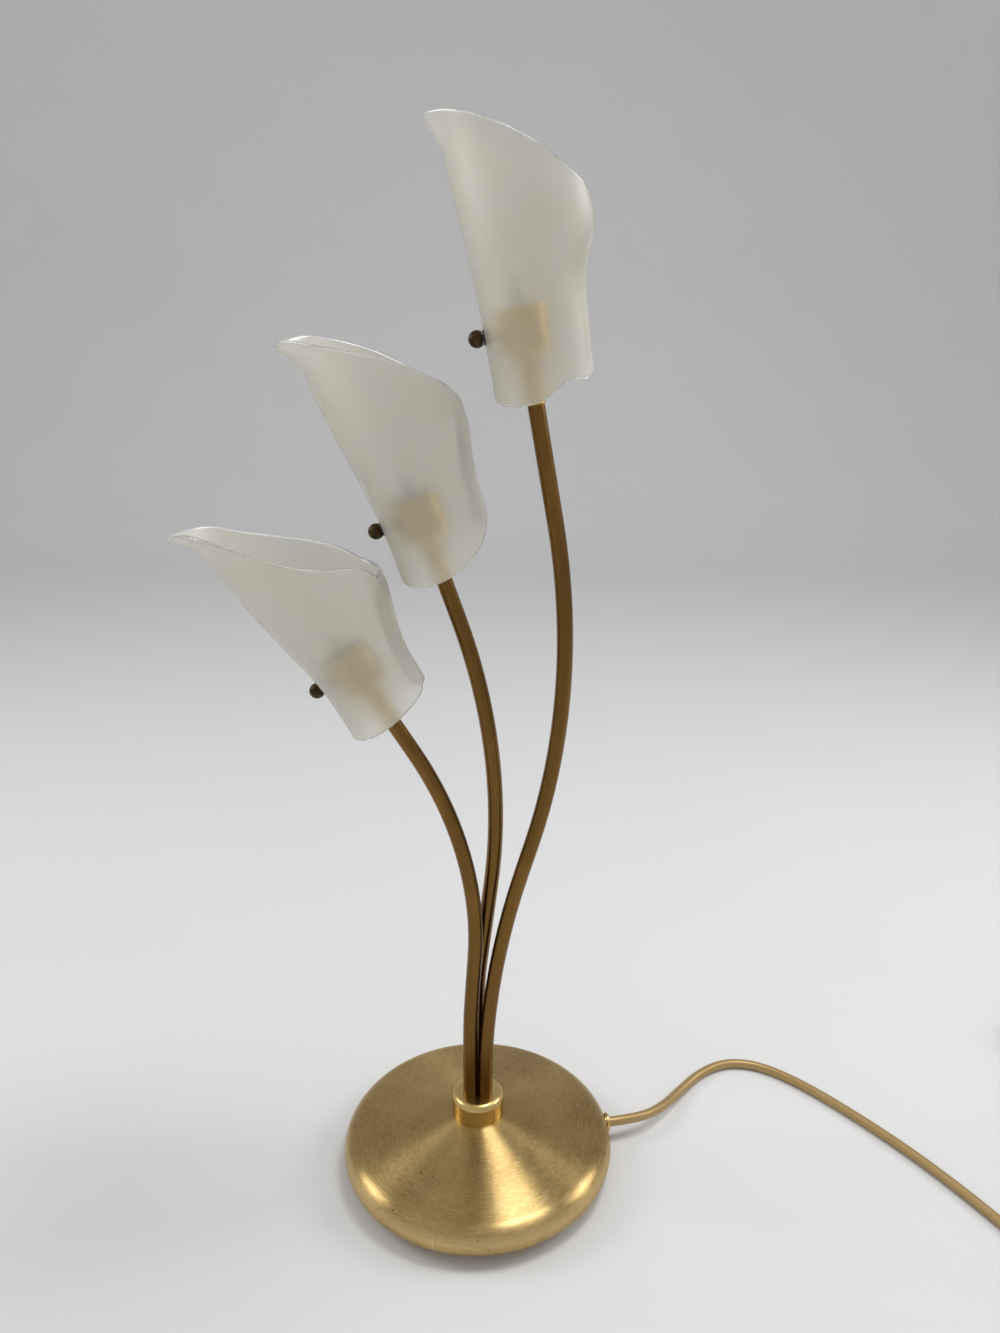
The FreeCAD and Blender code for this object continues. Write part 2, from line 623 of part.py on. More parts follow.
def bulb():
    """Clear capsule on its flat pinched foot."""
    foot = HOLDER_TOP - SLOT_DEPTH
    shoulder = foot + PINCH_HEIGHT
    pinch = Part.makeBox(PINCH_LENGTH, PINCH_WIDTH, PINCH_HEIGHT + 1.5,
                         V(-PINCH_LENGTH / 2, -PINCH_WIDTH / 2, foot))
    capsule = turned([(0, shoulder), (BULB_RADIUS, shoulder, 2.5),
                      (BULB_RADIUS, shoulder + BULB_HEIGHT, 5.5), (1.2, shoulder + BULB_HEIGHT, 0.4),
                      (0.8, shoulder + BULB_HEIGHT + 2), (0, shoulder + BULB_HEIGHT + 2)])
    return capsule.fuse(pinch)


# ---------------------------------------------------------------- glass shade and its screw
def along(table, at):
    """Smooth curve through the table's (position, value) pairs."""
    count = len(table)
    i = 0
    while i < count - 2 and at > table[i + 1][0]:
        i += 1
    (x0, y0), (x1, y1) = table[i], table[i + 1]
    slope = (y1 - y0) / (x1 - x0)
    before = (y0 - table[i - 1][1]) / (x0 - table[i - 1][0]) if i > 0 else slope
    after = (table[i + 2][1] - y1) / (table[i + 2][0] - x1) if i < count - 2 else slope
    start = (before + slope) / 2
    end = (slope + after) / 2
    span = x1 - x0
    t = min(1.2, max(-0.2, (at - x0) / span))
    return (y0 * (2 * t ** 3 - 3 * t ** 2 + 1) + start * span * (t ** 3 - 2 * t ** 2 + t)
            + y1 * (3 * t ** 2 - 2 * t ** 3) + end * span * (t ** 3 - t ** 2))


def wall_radius(turn, height, form):
    """Outer face of the rolled glass, from the cup's axis, before the sheet's own spiral."""
    crest = along(form["crest"], height)
    seam = along(form["seam"], height)
    centre = (crest - seam) / 2
    radius = (crest + seam) / 2
    angle = math.radians(turn)
    reach = centre * math.cos(angle) + math.sqrt(radius ** 2 - (centre * math.sin(angle)) ** 2)
    curl_from, tip, curl = form["tip"]
    share = max(0.0, height - curl_from) / (tip - curl_from)
    return reach + curl * share ** 1.6 * math.exp(-(turn / TIP_SPREAD) ** 2)


def seam_corner(turn):
    """1 at the sheet's two edges, falling to 0 over the corner's turn."""
    left = max(0.0, 1 - (SEAM_OUTER - turn) / CORNER_TURN)
    right = max(0.0, 1 - (turn - SEAM_INNER) / CORNER_TURN)
    share = max(left, right)
    return 1 - math.sqrt(max(0.0, 1 - share * share))


def rim_height(turn, form):
    side = form["front"] if turn > 0 else form["back"]
    return along(side, abs(turn)) - CORNER_DROP * seam_corner(turn)


def foot_height(turn, form):
    return along(form["foot"], abs(turn)) + 6.0 * seam_corner(turn)


def sheet_point(turn, height, depth, form):
    """Point in the glass: depth 0 is the outer face and 1 the inner."""
    spiral = (GLASS_WALL + SEAM_GAP) * turn / 360.0
    reach = wall_radius(turn, height, form) + spiral - depth * GLASS_WALL
    angle = math.radians(turn)
    return V(reach * math.cos(angle), reach * math.sin(angle), height)


SHEET_TURNS = 25
SHEET_HEIGHTS = 8


def shade(form):
    """Sheet of glass rolled once round the cup, its edges overlapping at the seam."""
    sections = []
    for i in range(SHEET_TURNS + 1):
        turn = SEAM_INNER + (SEAM_OUTER - SEAM_INNER) * i / SHEET_TURNS
        low = foot_height(turn, form)
        high = rim_height(turn, form)
        faces = []
        for depth in (0, 1):
            heights = [low + (high - low) * j / SHEET_HEIGHTS for j in range(SHEET_HEIGHTS + 1)]
            faces.append([sheet_point(turn, height, depth, form) for height in heights])
        edges = []
        for line in faces:
            curve = Part.BSplineCurve()
            curve.interpolate(line)
            edges.append(curve.toShape())
        foot = Part.LineSegment(faces[0][0], faces[1][0]).toShape()
        rim = Part.LineSegment(faces[0][-1], faces[1][-1]).toShape()
        sections.append(Part.Wire([edges[0], rim, edges[1], foot]))
    sheet = Part.makeLoft(sections, True, False)
    face = glass_face(form)
    hole = rod(GLASS_HOLE, V(face - 10, 0, SCREW_HEIGHT), V(face + 6, 0, SCREW_HEIGHT))
    return sheet.cut(hole)


def glass_face(form):
    """Distance from the cup's axis to the glass's outer face at the screw."""
    return wall_radius(0.0, SCREW_HEIGHT, form)


def inner_seat(form):
    """Where the grommet's inner flange meets the glass's hollow side."""
    return glass_face(form) - GLASS_WALL - SEAT_DIP


def across(shape):
    """Lays a turned piece along the screw's axis."""
    shape.rotate(V(0, 0, 0), V(0, 1, 0), 90)
    shape.translate(UP * SCREW_HEIGHT)
    return shape


def grommet(form, glass):
    """Rubber bush in the glass's hole, its two flanges bedded on the glass."""
    bore = SCREW_RADIUS + RUN_GAP
    hub = GLASS_HOLE - SLEEVE_GAP
    face = glass_face(form)
    inner = inner_seat(form)
    bush = across(turned([(bore, inner - GROMMET_LIP), (GROMMET_FLANGE, inner - GROMMET_LIP, 0.3),
                          (GROMMET_FLANGE, inner + 0.7), (hub, inner + 0.7), (hub, face - 0.7),
                          (GROMMET_FLANGE, face - 0.7), (GROMMET_FLANGE, face + GROMMET_LIP, 0.5),
                          (bore, face + GROMMET_LIP)]))
    return bush.cut(glass)


def boss(form):
    """Short stud on the cup that the screw runs through."""
    bore = SCREW_RADIUS + RUN_GAP
    end = inner_seat(form) - GROMMET_LIP - FACE_GAP
    stud = across(turned([(bore, CUP_RADIUS - 2), (BOSS_RADIUS, CUP_RADIUS - 2), (BOSS_RADIUS, end, 0.5),
                          (bore, end)]))
    return stud.cut(Part.makeCylinder(CUP_RADIUS, CUP_HEIGHT, V(0, 0, CUP_FROM)))


def ball_screw(form):
    flat = glass_face(form) + GROMMET_LIP + FACE_GAP
    ball = Part.makeSphere(BALL_RADIUS, V(flat + BALL_FLAT, 0, SCREW_HEIGHT))
    ball = ball.cut(Part.makeBox(BALL_RADIUS * 2, BALL_RADIUS * 2, BALL_RADIUS * 2,
                                 V(flat - BALL_RADIUS * 2, -BALL_RADIUS, SCREW_HEIGHT - BALL_RADIUS)))
    shank = rod(SCREW_RADIUS, V(CUP_RADIUS - CUP_WALL - 0.6, 0, SCREW_HEIGHT), V(flat + 1, 0, SCREW_HEIGHT))
    return ball.fuse(shank)


# ---------------------------------------------------------------- lead, switch, coil and plug
def cord_radii(points):
    """Largest tangent arc that each corner's two runs allow."""
    radii = [0.0]
    for i in range(1, len(points) - 1):
        back = points[i] - points[i - 1]
        ahead = points[i + 1] - points[i]
        shorter = min(back.Length, ahead.Length)
        radii.append(0.45 * shorter / math.tan(back.getAngle(ahead) / 2))
    return radii + [0.0]


def cord_stretch(name, points):
    radii = cord_radii(points)
    edges = rounded_edges(points, radii)
    tube = sweep(edges, CORD_OD / 2)
    length = sum(edge.Length for edge in edges)
    expected = length * math.pi * CORD_OD ** 2 / 4
    print(name, "length %.1f" % length, "volume share %.4f" % (tube.Volume / expected),
          "radii", [round(radius, 1) for radius in radii[1:-1]])
    return tube


SWITCH_DIRECTION = V(math.cos(math.radians(SWITCH_HEADING)), math.sin(math.radians(SWITCH_HEADING)), 0)
SPLIT_Z = SWITCH_HEIGHT / 2
SWITCH_IN = V(SWITCH_START[0], SWITCH_START[1], SPLIT_Z)
SWITCH_OUT = SWITCH_IN + SWITCH_DIRECTION * SWITCH_LENGTH


def at_switch(shape):
    """From the switch's own frame (X along the lead, origin at its middle on the table)."""
    moved = shape.copy()
    middle = (SWITCH_IN + SWITCH_OUT) * 0.5 - UP * SPLIT_Z
    frame = FreeCAD.Placement(middle, FreeCAD.Rotation(UP, SWITCH_HEADING))
    moved.Placement = frame.multiply(moved.Placement)
    return moved


def switch_blank(low, high):
    """Boat-shaped housing half, before its openings."""
    half = SWITCH_LENGTH / 2
    side = SWITCH_WIDTH / 2
    end = SWITCH_END / 2
    shoulder = half - 14.0
    corners = [(-half, -end), (-shoulder, -side), (shoulder, -side), (half, -end),
               (half, end), (shoulder, side), (-shoulder, side), (-half, end)]
    radii = [2.0, 12.0, 12.0, 2.0] * 2
    wire = Part.Wire(rounded_edges([V(x, y, low) for x, y in corners], radii, closed=True))
    return Part.Face(wire).extrude(V(0, 0, high - low))


POCKET_GAP = 0.4
POCKET_FLOOR = SPLIT_Z - 1.2
SWITCH_SCREW_AT = 20.0


def rocker_pocket():
    half = ROCKER_LENGTH / 2 + 1.3
    side = ROCKER_WIDTH / 2 + POCKET_GAP
    return Part.makeBox(half * 2, side * 2, SWITCH_HEIGHT, V(-half, -side, POCKET_FLOOR))


def switch_cover():
    blank = switch_blank(SPLIT_Z, SWITCH_HEIGHT)
    top_edges = [edge for edge in blank.Edges if edge.BoundBox.ZMin > SWITCH_HEIGHT - 0.01]
    cover = blank.makeFillet(SWITCH_ROUND, top_edges).cut(rocker_pocket())
    axle = SPLIT_Z + ROCKER_PIVOT
    pin_reach = ROCKER_WIDTH / 2 + 2.5
    cover = cover.cut(rod(ROCKER_PIN + RUN_GAP, V(0, -pin_reach, axle), V(0, pin_reach, axle)))
    return at_switch(cover)


def switch_base():
    blank = switch_blank(0, SPLIT_Z)
    bottom_edges = [edge for edge in blank.Edges if edge.BoundBox.ZMax < 0.01]
    base = blank.makeFillet(SWITCH_ROUND / 2, bottom_edges).cut(rocker_pocket())
    for side in (-1, 1):
        base = base.cut(Part.makeCylinder(2.4, 2.2, V(side * SWITCH_SCREW_AT, 0, 0)))
    return at_switch(base)


def switch_screws():
    screws = []
    for side in (-1, 1):
        head = turned([(0, 0.5), (2.3, 0.5, 0.3), (2.3, 2.2), (0, 2.2)])
        head = head.cut(Part.makeBox(5, 0.7, 1.2, V(-2.5, -0.35, 0)))
        head.translate(V(side * SWITCH_SCREW_AT, 0, 0))
        screws.append(head)
    return at_switch(Part.makeCompound(screws))


def switch_rocker():
    """Rocker on two side pins, resting with one end pressed in."""
    half = ROCKER_LENGTH / 2
    rise = 6.5
    dip = 4.9
    outline = [(-half, rise), (-half, 1.5), (-5.0, -3.8), (5.0, -3.8), (half, 1.5), (half, rise), (0, dip)]
    radii = [1.0, 1.5, 2.5, 2.5, 1.5, 1.0, 25.0]
    wire = Part.Wire(rounded_edges([V(x, -ROCKER_WIDTH / 2, z) for x, z in outline], radii, closed=True))
    body = Part.Face(wire).extrude(V(0, ROCKER_WIDTH, 0))
    pin_reach = ROCKER_WIDTH / 2 + 2.2
    body = body.fuse(rod(ROCKER_PIN, V(0, -pin_reach, 0), V(0, pin_reach, 0)))
    body.rotate(V(0, 0, 0), V(0, 1, 0), -ROCKER_TILT)
    body.translate(UP * (SPLIT_Z + ROCKER_PIVOT))
    return at_switch(body)


COIL_CENTRE = V(COIL_START[0], COIL_START[1] - COIL_RADIUS, 0)


def coil_node(quarter):
    """Point and direction on the coil after so many quarter turns."""
    per_quarter = COIL_PITCH / 4
    turning_point = LOWER_QUARTERS + CLIMB_QUARTERS / 2
    radius = COIL_RADIUS - per_quarter * (turning_point - abs(quarter - turning_point))
    rate = math.copysign(per_quarter, quarter - turning_point) if quarter != turning_point else 0.0
    climbed = min(1.0, max(0.0, (quarter - LOWER_QUARTERS) / CLIMB_QUARTERS))
    height = CORD_Z + COIL_PITCH * climbed
    climb_rate = COIL_PITCH * 1.5 / CLIMB_QUARTERS if 0 < climbed < 1 else 0.0
    angle = math.radians(90 * (quarter + 1))
    outward = V(math.cos(angle), math.sin(angle), 0)
    onward = V(-math.sin(angle), math.cos(angle), 0)
    direction = (onward * (radius * math.pi / 2) + outward * rate + UP * climb_rate).normalize()
    return COIL_CENTRE + outward * radius + UP * height, direction


def biarc(start, out, end, into):
    """Two tangent arcs from start (leaving along out) to end (arriving along into)."""
    chord = end - start
    a = 2 * (out.dot(into) - 1)
    b = -2 * chord.dot(out + into)
    c = chord.dot(chord)
    reach = c / -b if abs(a) < 1e-9 else (-b - math.sqrt(b * b - 4 * a * c)) / (2 * a)
    if reach < 0:
        reach = (-b + math.sqrt(b * b - 4 * a * c)) / (2 * a)
    joint = (start + out * reach + end - into * reach) * 0.5
    edges = []
    for first, corner, last in ((start, start + out * reach, joint), (joint, end - into * reach, end)):
        back = (first - corner).normalize()
        ahead = (last - corner).normalize()
        half_angle = back.getAngle(ahead) / 2
        radius = reach * math.tan(half_angle)
        middle = corner + (back + ahead).normalize() * (radius / math.sin(half_angle) - radius)
        edges.append(Part.Arc(first, middle, last).toShape())
    return edges


def coil_edges():
    quarters = LOWER_QUARTERS + CLIMB_QUARTERS + UPPER_QUARTERS
    nodes = [coil_node(quarter) for quarter in range(quarters + 1)]
    edges = [Part.LineSegment(nodes[0][0] - nodes[0][1] * CORD_OD, nodes[0][0]).toShape()]
    for (start, out), (end, into) in zip(nodes, nodes[1:]):
        edges += biarc(start, out, end, into)
    edges.append(Part.LineSegment(nodes[-1][0], nodes[-1][0] + nodes[-1][1] * CORD_OD).toShape())
    return edges


def print_coil_gap(edges):
    """Least gap between strands, on points two millimetres apart."""
    points = []
    travelled = 0.0
    for edge in edges:
        steps = max(2, int(edge.Length / 2))
        for i in range(steps):
            share = edge.getParameterByLength(edge.Length * i / steps)
            points.append((travelled + edge.Length * i / steps, edge.valueAt(share)))
        travelled += edge.Length
    least = min((b[1] - a[1]).Length for i, a in enumerate(points) for b in points[i + 1:]
                if b[0] - a[0] > 4 * CORD_OD)
    print("coil length %.1f" % travelled, "least gap %.2f" % (least - CORD_OD))


PLUG_Z = PLUG_FLAT
PLUG_START = V(488.0, 74.0, PLUG_Z)
PLUG_HEADING = 101.0


def at_plug(shape):
    """From the plug's own frame (X from the lead to the pins, origin at the sleeve's end)."""
    moved = shape.copy()
    frame = FreeCAD.Placement(PLUG_START, FreeCAD.Rotation(UP, PLUG_HEADING))
    moved.Placement = frame.multiply(moved.Placement)
    return moved


def plug_body():
    end = PLUG_SLEEVE + PLUG_BODY
    form = turned([(0, 0), (5.2, 0, 0.6), (6.6, PLUG_SLEEVE, 3.0), (11.0, PLUG_SLEEVE + 8, 6.0),
                   (PLUG_RADIUS, PLUG_SLEEVE + 20, 8.0), (PLUG_RADIUS, end, 1.5), (0, end)])
    form.rotate(V(0, 0, 0), V(0, 1, 0), 90)
    slab = Part.makeBox(end + 2, PLUG_RADIUS * 2.2, PLUG_FLAT * 2, V(-1, -PLUG_RADIUS * 1.1, -PLUG_FLAT))
    return at_plug(form.common(slab))


def plug_pins():
    pins = []
    for side in (-1, 1):
        pin = turned([(0, 0), (PLUG_PIN_RADIUS, 0), (PLUG_PIN_RADIUS, PLUG_PIN_LENGTH, 1.5),
                      (0, PLUG_PIN_LENGTH)])
        pin.rotate(V(0, 0, 0), V(0, 1, 0), 90)
        pin.translate(V(PLUG_SLEEVE + PLUG_BODY, side * PLUG_PIN_PITCH / 2, 0))
        pins.append(pin)
    return at_plug(Part.makeCompound(pins))


# ---------------------------------------------------------------- build
write("base_shell", base_shell())
write("base_felt", base_felt())
write("base_plate", base_plate())
write("ballast", ballast())
write("collar", collar())
write("lamp_pipe", lamp_pipe())
write("pipe_washers", pipe_washers())
write("pipe_nuts", pipe_nuts())
write("earth_tag", earth_tag())
write("terminal_block", terminal_block())
write("terminal_screws", terminal_screws())
write("cord_clamp", cord_clamp())
write("clamp_screws", clamp_screws())
write("cord_bush", cord_bush())
write("cord_end", cord_end())
write("cord_cores", cord_cores())
write("lamp_leads", lamp_leads())

for arm in STEMS:
    write("stem_" + arm, stem(arm))
    for piece in (ferrule, neck, cup, lampholder, bulb):
        write(piece.__name__ + "_" + arm, on_arm(piece(), arm))
    for piece in (boss, ball_screw):
        write(piece.__name__ + "_" + arm, on_arm(piece(SHADES[arm]), arm))
    glass = shade(SHADES[arm])
    write("shade_" + arm, on_arm(glass, arm))
    write("grommet_" + arm, on_arm(grommet(SHADES[arm], glass), arm))
    _, arm_end, lean = stem_line(arm)
    print(arm, "end", [round(value, 2) for value in arm_end], "lean %.2f" % lean)

coil = coil_edges()
print_coil_gap(coil)
coil_in = coil[0].Vertexes[0].Point
coil_out = coil[-1].Vertexes[-1].Point
write("cord_lead", cord_stretch("cord_lead", [CORD_EXIT] + [V(*p) for p in LEAD_ROUTE] + [SWITCH_IN]))
write("cord_link", cord_stretch("cord_link", [SWITCH_OUT] + [V(*p) for p in LINK_ROUTE] + [coil_in]))
write("cord_tail", cord_stretch("cord_tail", [coil_out] + [V(*p) for p in TAIL_ROUTE] + [PLUG_START]))
write("cord_coil", sweep(coil, CORD_OD / 2))
write("switch_base", switch_base())
write("switch_cover", switch_cover())
write("switch_rocker", switch_rocker())
write("switch_screws", switch_screws())
write("plug_body", plug_body())
write("plug_pins", plug_pins())
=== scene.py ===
"""Table lamp with three bent brass stems and rolled glass shades, dressed over its CAD frame."""
import json
import math
from functools import partial

import bpy
from mathutils import Matrix, Vector


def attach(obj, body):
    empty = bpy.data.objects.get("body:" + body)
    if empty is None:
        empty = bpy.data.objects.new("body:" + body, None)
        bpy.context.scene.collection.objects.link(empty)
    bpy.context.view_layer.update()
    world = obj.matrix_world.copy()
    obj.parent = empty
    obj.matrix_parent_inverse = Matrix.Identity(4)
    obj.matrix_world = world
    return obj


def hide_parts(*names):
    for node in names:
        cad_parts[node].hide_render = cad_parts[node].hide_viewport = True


bl_info = {
    "name": "Tulip shade table lamp",
    "version": (1, 0, 0),
    "blender": (4, 5, 0),
    "location": "View3D > Sidebar > Lamp",
    "description": "Dresses the CAD frame of a brass table lamp with its glass, cord and finishes",
    "category": "Object",
}

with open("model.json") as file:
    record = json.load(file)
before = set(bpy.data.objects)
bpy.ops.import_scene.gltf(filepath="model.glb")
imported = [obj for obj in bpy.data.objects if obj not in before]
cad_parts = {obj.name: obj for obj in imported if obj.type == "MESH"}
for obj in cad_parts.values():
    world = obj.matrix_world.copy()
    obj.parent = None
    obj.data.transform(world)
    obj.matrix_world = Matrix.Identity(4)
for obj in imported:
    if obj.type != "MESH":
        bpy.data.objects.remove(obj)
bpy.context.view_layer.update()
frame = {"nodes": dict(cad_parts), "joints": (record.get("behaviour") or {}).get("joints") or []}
NODES = frame["nodes"]
JOINTS = {joint["name"]: joint for joint in frame["joints"]}
MM = 0.001
ARMS = ("low", "middle", "top")

# Lengths below are in millimetres and turns in degrees, unless a heading says metres.

# ---- an arm's own frame: Z along the cup, X towards the screw
SCREW_HEIGHT = 49.0
SCREW_JOINT_REACH = 23.5
GLASS_HOLE = 3.1          # radius
DRILL_FROM = 12.0         # the cutter starts inside the glass and ends outside it
DRILL_TO = 34.0
DRILL_SIDES = 40
FILAMENT_HEIGHT = 62.0

# ---- rolled glass: turn 0 is the crest over the screw, +90 the front
SEAM_OUTER = 168.0
SEAM_INNER = -207.0
BACK_END = 207.0          # the turn at which the tables by turn end
TABLE_HEIGHT = 200.0      # the tables' heights and reaches are shares of this
CORNER_POWER = 2.4        # how late the rim rounds off on its way to the seam
CURL_POWER = 1.6          # how late the tip curls on its way up
# per shade: "front" and "back" are the rim's heights by turn, "foot" the lower edge's, with
# "foot_back" where the inner leaf's differs, "crest" and "seam" the outer face's distance from the
# cup's axis by height, over the screw and opposite it, and "tip" where the curl starts, its height
# and its reach
SHADES = {
    "low": {
        "front": [(0, 175), (30, 170), (60, 161), (90, 141), (120, 117), (145, 105), (168, 96)],
        "back": [(0, 175), (30, 168), (60, 153), (90, 136), (120, 118), (150, 98), (207, 92)],
        "foot": [(0, 15), (45, 12), (90, 12), (130, 15), (168, 19), (207, 19)],
        "crest": [(5, 25.6), (38, 23.8), (55, 24.3), (77, 27.0), (101, 30.4), (127, 33.2),
                  (180, 37)],
        "seam": [(5, 33.5), (28, 34.4), (42, 35.4), (55, 38.2), (67, 42.2), (79, 46.4), (90, 48.8),
                 (180, 52)],
        "tip": (147, 175, 13.5),
    },
    "middle": {
        "front": [(0, 167), (30, 165), (60, 158.5), (90, 148), (120, 134), (145, 119), (168, 108)],
        "back": [(0, 167), (30, 168), (60, 162), (90, 150), (120, 131), (150, 113), (207, 103)],
        "foot": [(0, 18), (45, 13), (90, 12), (120, 16), (145, 23), (168, 33), (207, 33)],
        "crest": [(5, 23.7), (38, 23.7), (55, 24.1), (79, 26.7), (101, 29.4), (123, 31.9),
                  (180, 36)],
        "seam": [(5, 35.0), (28, 37.5), (47, 39.5), (58, 39.8), (75, 42.6), (89, 45.8), (105, 47.6),
                 (180, 51)],
        "tip": (143, 167, 11.0),
    },
    "top": {
        "front": [(0, 163), (30, 162), (60, 157.5), (90, 148.5), (120, 133.5), (145, 118),
                  (168, 107)],
        "back": [(0, 163), (30, 161.5), (60, 156), (90, 147), (120, 132), (150, 116), (207, 110)],
        "foot": [(0, 16), (45, 11), (90, 10.5), (130, 18.5), (155, 17.5), (168, 16), (207, 16)],
        "foot_back": [(0, 16), (45, 11), (90, 10.5), (130, 18.5), (168, 20), (207, 21)],
        "crest": [(5, 22.8), (38, 22.2), (60, 22.2), (86, 23.6), (115, 25.4), (140, 26.6),
                  (180, 28)],
        "seam": [(5, 33.5), (29, 34.6), (47, 35.4), (65, 36.8), (75, 38.9), (83, 41.9), (92, 45.3),
                 (102, 47.6), (125, 49.5), (180, 51)],
        "tip": (140, 163, 8.5),
    },
}

# ---- route of the lead, the same points as the part's source
CORD_Z = 3.5
CORD_EXIT = (96.61, 17.03, 15.0)
LEAD_ROUTE = [
    (119.5, 21.1, 15.0), (139.0, 37.5, 9.4), (157.0, 61.0, 4.3), (179.0, 85.0, CORD_Z),
    (204.0, 97.0, CORD_Z), (230.5, 92.0, CORD_Z), (258.0, 71.0, CORD_Z), (288.0, 38.0, CORD_Z),
    (317.0, 1.0, CORD_Z), (342.5, -39.0, CORD_Z), (361.0, -74.0, CORD_Z), (376.8, -86.2, 4.8),
    (396.2, -91.3, 8.5),
]
SWITCH_IN = (416.0, -88.5, 8.5)
SWITCH_OUT = (477.4, -79.9, 8.5)
LINK_ROUTE = [
    (497.2, -77.1, 8.5), (515.4, -64.8, 5.0), (527.4, -44.1, CORD_Z), (529.4, -16.1, CORD_Z),
    (518.9, 9.8, CORD_Z), (500.0, 29.0, CORD_Z), (478.0, 38.2, CORD_Z),
]
TAIL_ROUTE = [(496.1, 20.0, 11.0), (494.0, 40.0, 14.0), (491.5, 57.0, 17.0)]
PLUG_START = (488.0, 74.0, 17.0)
COIL_CENTRE = (451.6, -4.5)
COIL_RADIUS = 42.0
COIL_PITCH = 7.5
LOWER_QUARTERS = 8
CLIMB_QUARTERS = 2
UPPER_QUARTERS = 9
POINTS_PER_QUARTER = 4
CORD_STEPS = 8            # between two control points
CORD_RING = 6             # bevel resolution round the cord

# ---- the photograph's view, measured on its 1000 x 1333 frame
PHOTO_HEIGHT = 1333.0     # pixels
FOCAL_PIXELS = 996.0
SENSOR = 36.0
CAMERA_PLACE = (14.3, -586.1, 563.6)
CAMERA_PITCH = 17.75      # degrees below the horizon
CAMERA_ROLL = 0.28

# ---- in metres: bend reliefs on the lead
RELIEF_SKIN = 0.0006      # over the cord at the thin end
RELIEF_BITE = 0.001       # into the housing
RIB_THICKNESS = 0.0005

# ---- in metres: the floor bends up into the backdrop behind the lamp
SWEEP_HALF_WIDTH = 5.0
SWEEP_FRONT = -4.0
SWEEP_BEND_FROM = 2.0
SWEEP_BEND = 0.8
SWEEP_TOP = 6.0
SWEEP_STEPS = 15

# ---- in metres: each soft light's place, the point it faces and its side
SOFT_LIGHTS = {
    "top": ((0.46, 0.10, 1.75), (0.0, 0.0, 0.2), 0.5),
    "right": ((1.35, 0.25, 1.05), (0.0, 0.0, 0.25), 0.6),
    "left": ((-1.35, 0.20, 1.10), (0.0, 0.0, 0.25), 0.6),
}


# ================================================================ node trees
class Signal:
    """A node's output, on which Python's own operators add Math nodes."""

    def __init__(self, nodes, socket):
        self.nodes = nodes
        self.socket = socket

    def maths(self, operation, *terms):
        return self.nodes.add("ShaderNodeMath", {"operation": operation}, dict(enumerate(terms)))

    def __add__(self, other):
        return self.maths("ADD", self, other)

    def __radd__(self, other):
        return self.maths("ADD", other, self)

    def __sub__(self, other):
        return self.maths("SUBTRACT", self, other)

    def __rsub__(self, other):
        return self.maths("SUBTRACT", other, self)

    def __mul__(self, other):
        return self.maths("MULTIPLY", self, other)

    def __truediv__(self, other):
        return self.maths("DIVIDE", self, other)

    def __pow__(self, other):
        return self.maths("POWER", self, other)

    def least(self, other):
        return self.maths("MINIMUM", self, other)

    def most(self, other):
        return self.maths("MAXIMUM", self, other)

    def call(self, operation):
        return self.maths(operation, self)

    def rise(self, low, high):
        """0 below low, 1 above high, smooth between; falls instead where low is the larger."""
        return self.nodes.add("ShaderNodeMapRange", {"interpolation_type": "SMOOTHSTEP"},
                              {"Value": self, "From Min": low, "From Max": high})


class Nodes:
    """One node tree, and the one way in which nodes come into it."""

    def __init__(self, tree):
        self.tree = tree
        tree.nodes.clear()

    def add(self, kind, settings=None, sockets=None, output=0):
        """A socket takes a plain value, a signal, or a list of signals where it joins several."""
        node = self.tree.nodes.new(kind)
        for name, value in (settings or {}).items():
            if name == "points":
                self.set_points(node.mapping, value)
            else:
                setattr(node, name, value)
        for name, value in (sockets or {}).items():
            if isinstance(value, (Signal, list)):
                for signal in value if isinstance(value, list) else [value]:
                    self.tree.links.new(signal.socket, node.inputs[name])
            else:
                node.inputs[name].default_value = value
        if output is None:
            return node
        return Signal(self, node.outputs[output])

    @staticmethod
    def set_points(mapping, points):
        curve = mapping.curves[0]
        while len(curve.points) < len(points):
            curve.points.new(0.5, 0.5)
        for point, (place, value) in zip(curve.points, points):
            point.location = (place, value)
        mapping.extend = "EXTRAPOLATED"
        mapping.update()

    def mix(self, share, first, second):
        """A colour between two, by a share from 0 to 1."""
        return self.add("ShaderNodeMix", {"data_type": "RGBA"}, {0: share, 6: first, 7: second}, 2)

    def split(self, vector):
        node = self.add("ShaderNodeSeparateXYZ", None, {"Vector": vector}, None)
        return [Signal(self, socket) for socket in node.outputs]

    def join(self, x, y, z):
        return self.add("ShaderNodeCombineXYZ", None, {"X": x, "Y": y, "Z": z})

    def noise(self, place, scale, detail=2.0, roughness=0.5):
        return self.add("ShaderNodeTexNoise", None,
                        {"Vector": place, "Scale": scale, "Detail": detail, "Roughness": roughness})

    def spots(self, place, scale):
        """Distance from the nearest of a field of scattered points."""
        return self.add("ShaderNodeTexVoronoi", None, {"Vector": place, "Scale": scale}, "Distance")

    def stretch(self, place, scale):
        return self.add("ShaderNodeMapping", None, {"Vector": place, "Scale": scale})

    def bump(self, height, strength, distance):
        return self.add("ShaderNodeBump", None,
                        {"Height": height, "Strength": strength, "Distance": distance})


class Finish:
    """A material being written: its nodes, its place on the surface and its shader."""

    def __init__(self, name):
        self.material = bpy.data.materials.new(name)
        self.material.use_nodes = True
        self.nodes = Nodes(self.material.node_tree)
        self.place = self.nodes.add("ShaderNodeTexCoord", output="Object")

    def write(self, **sockets):
        named = {name.replace("_", " "): value for name, value in sockets.items()}
        shader = self.nodes.add("ShaderNodeBsdfPrincipled", None, named)
        self.nodes.add("ShaderNodeOutputMaterial", None, {"Surface": shader}, None)
        return self.material


def paint(*colour):
    return (colour[0], colour[1], colour[2], 1.0)


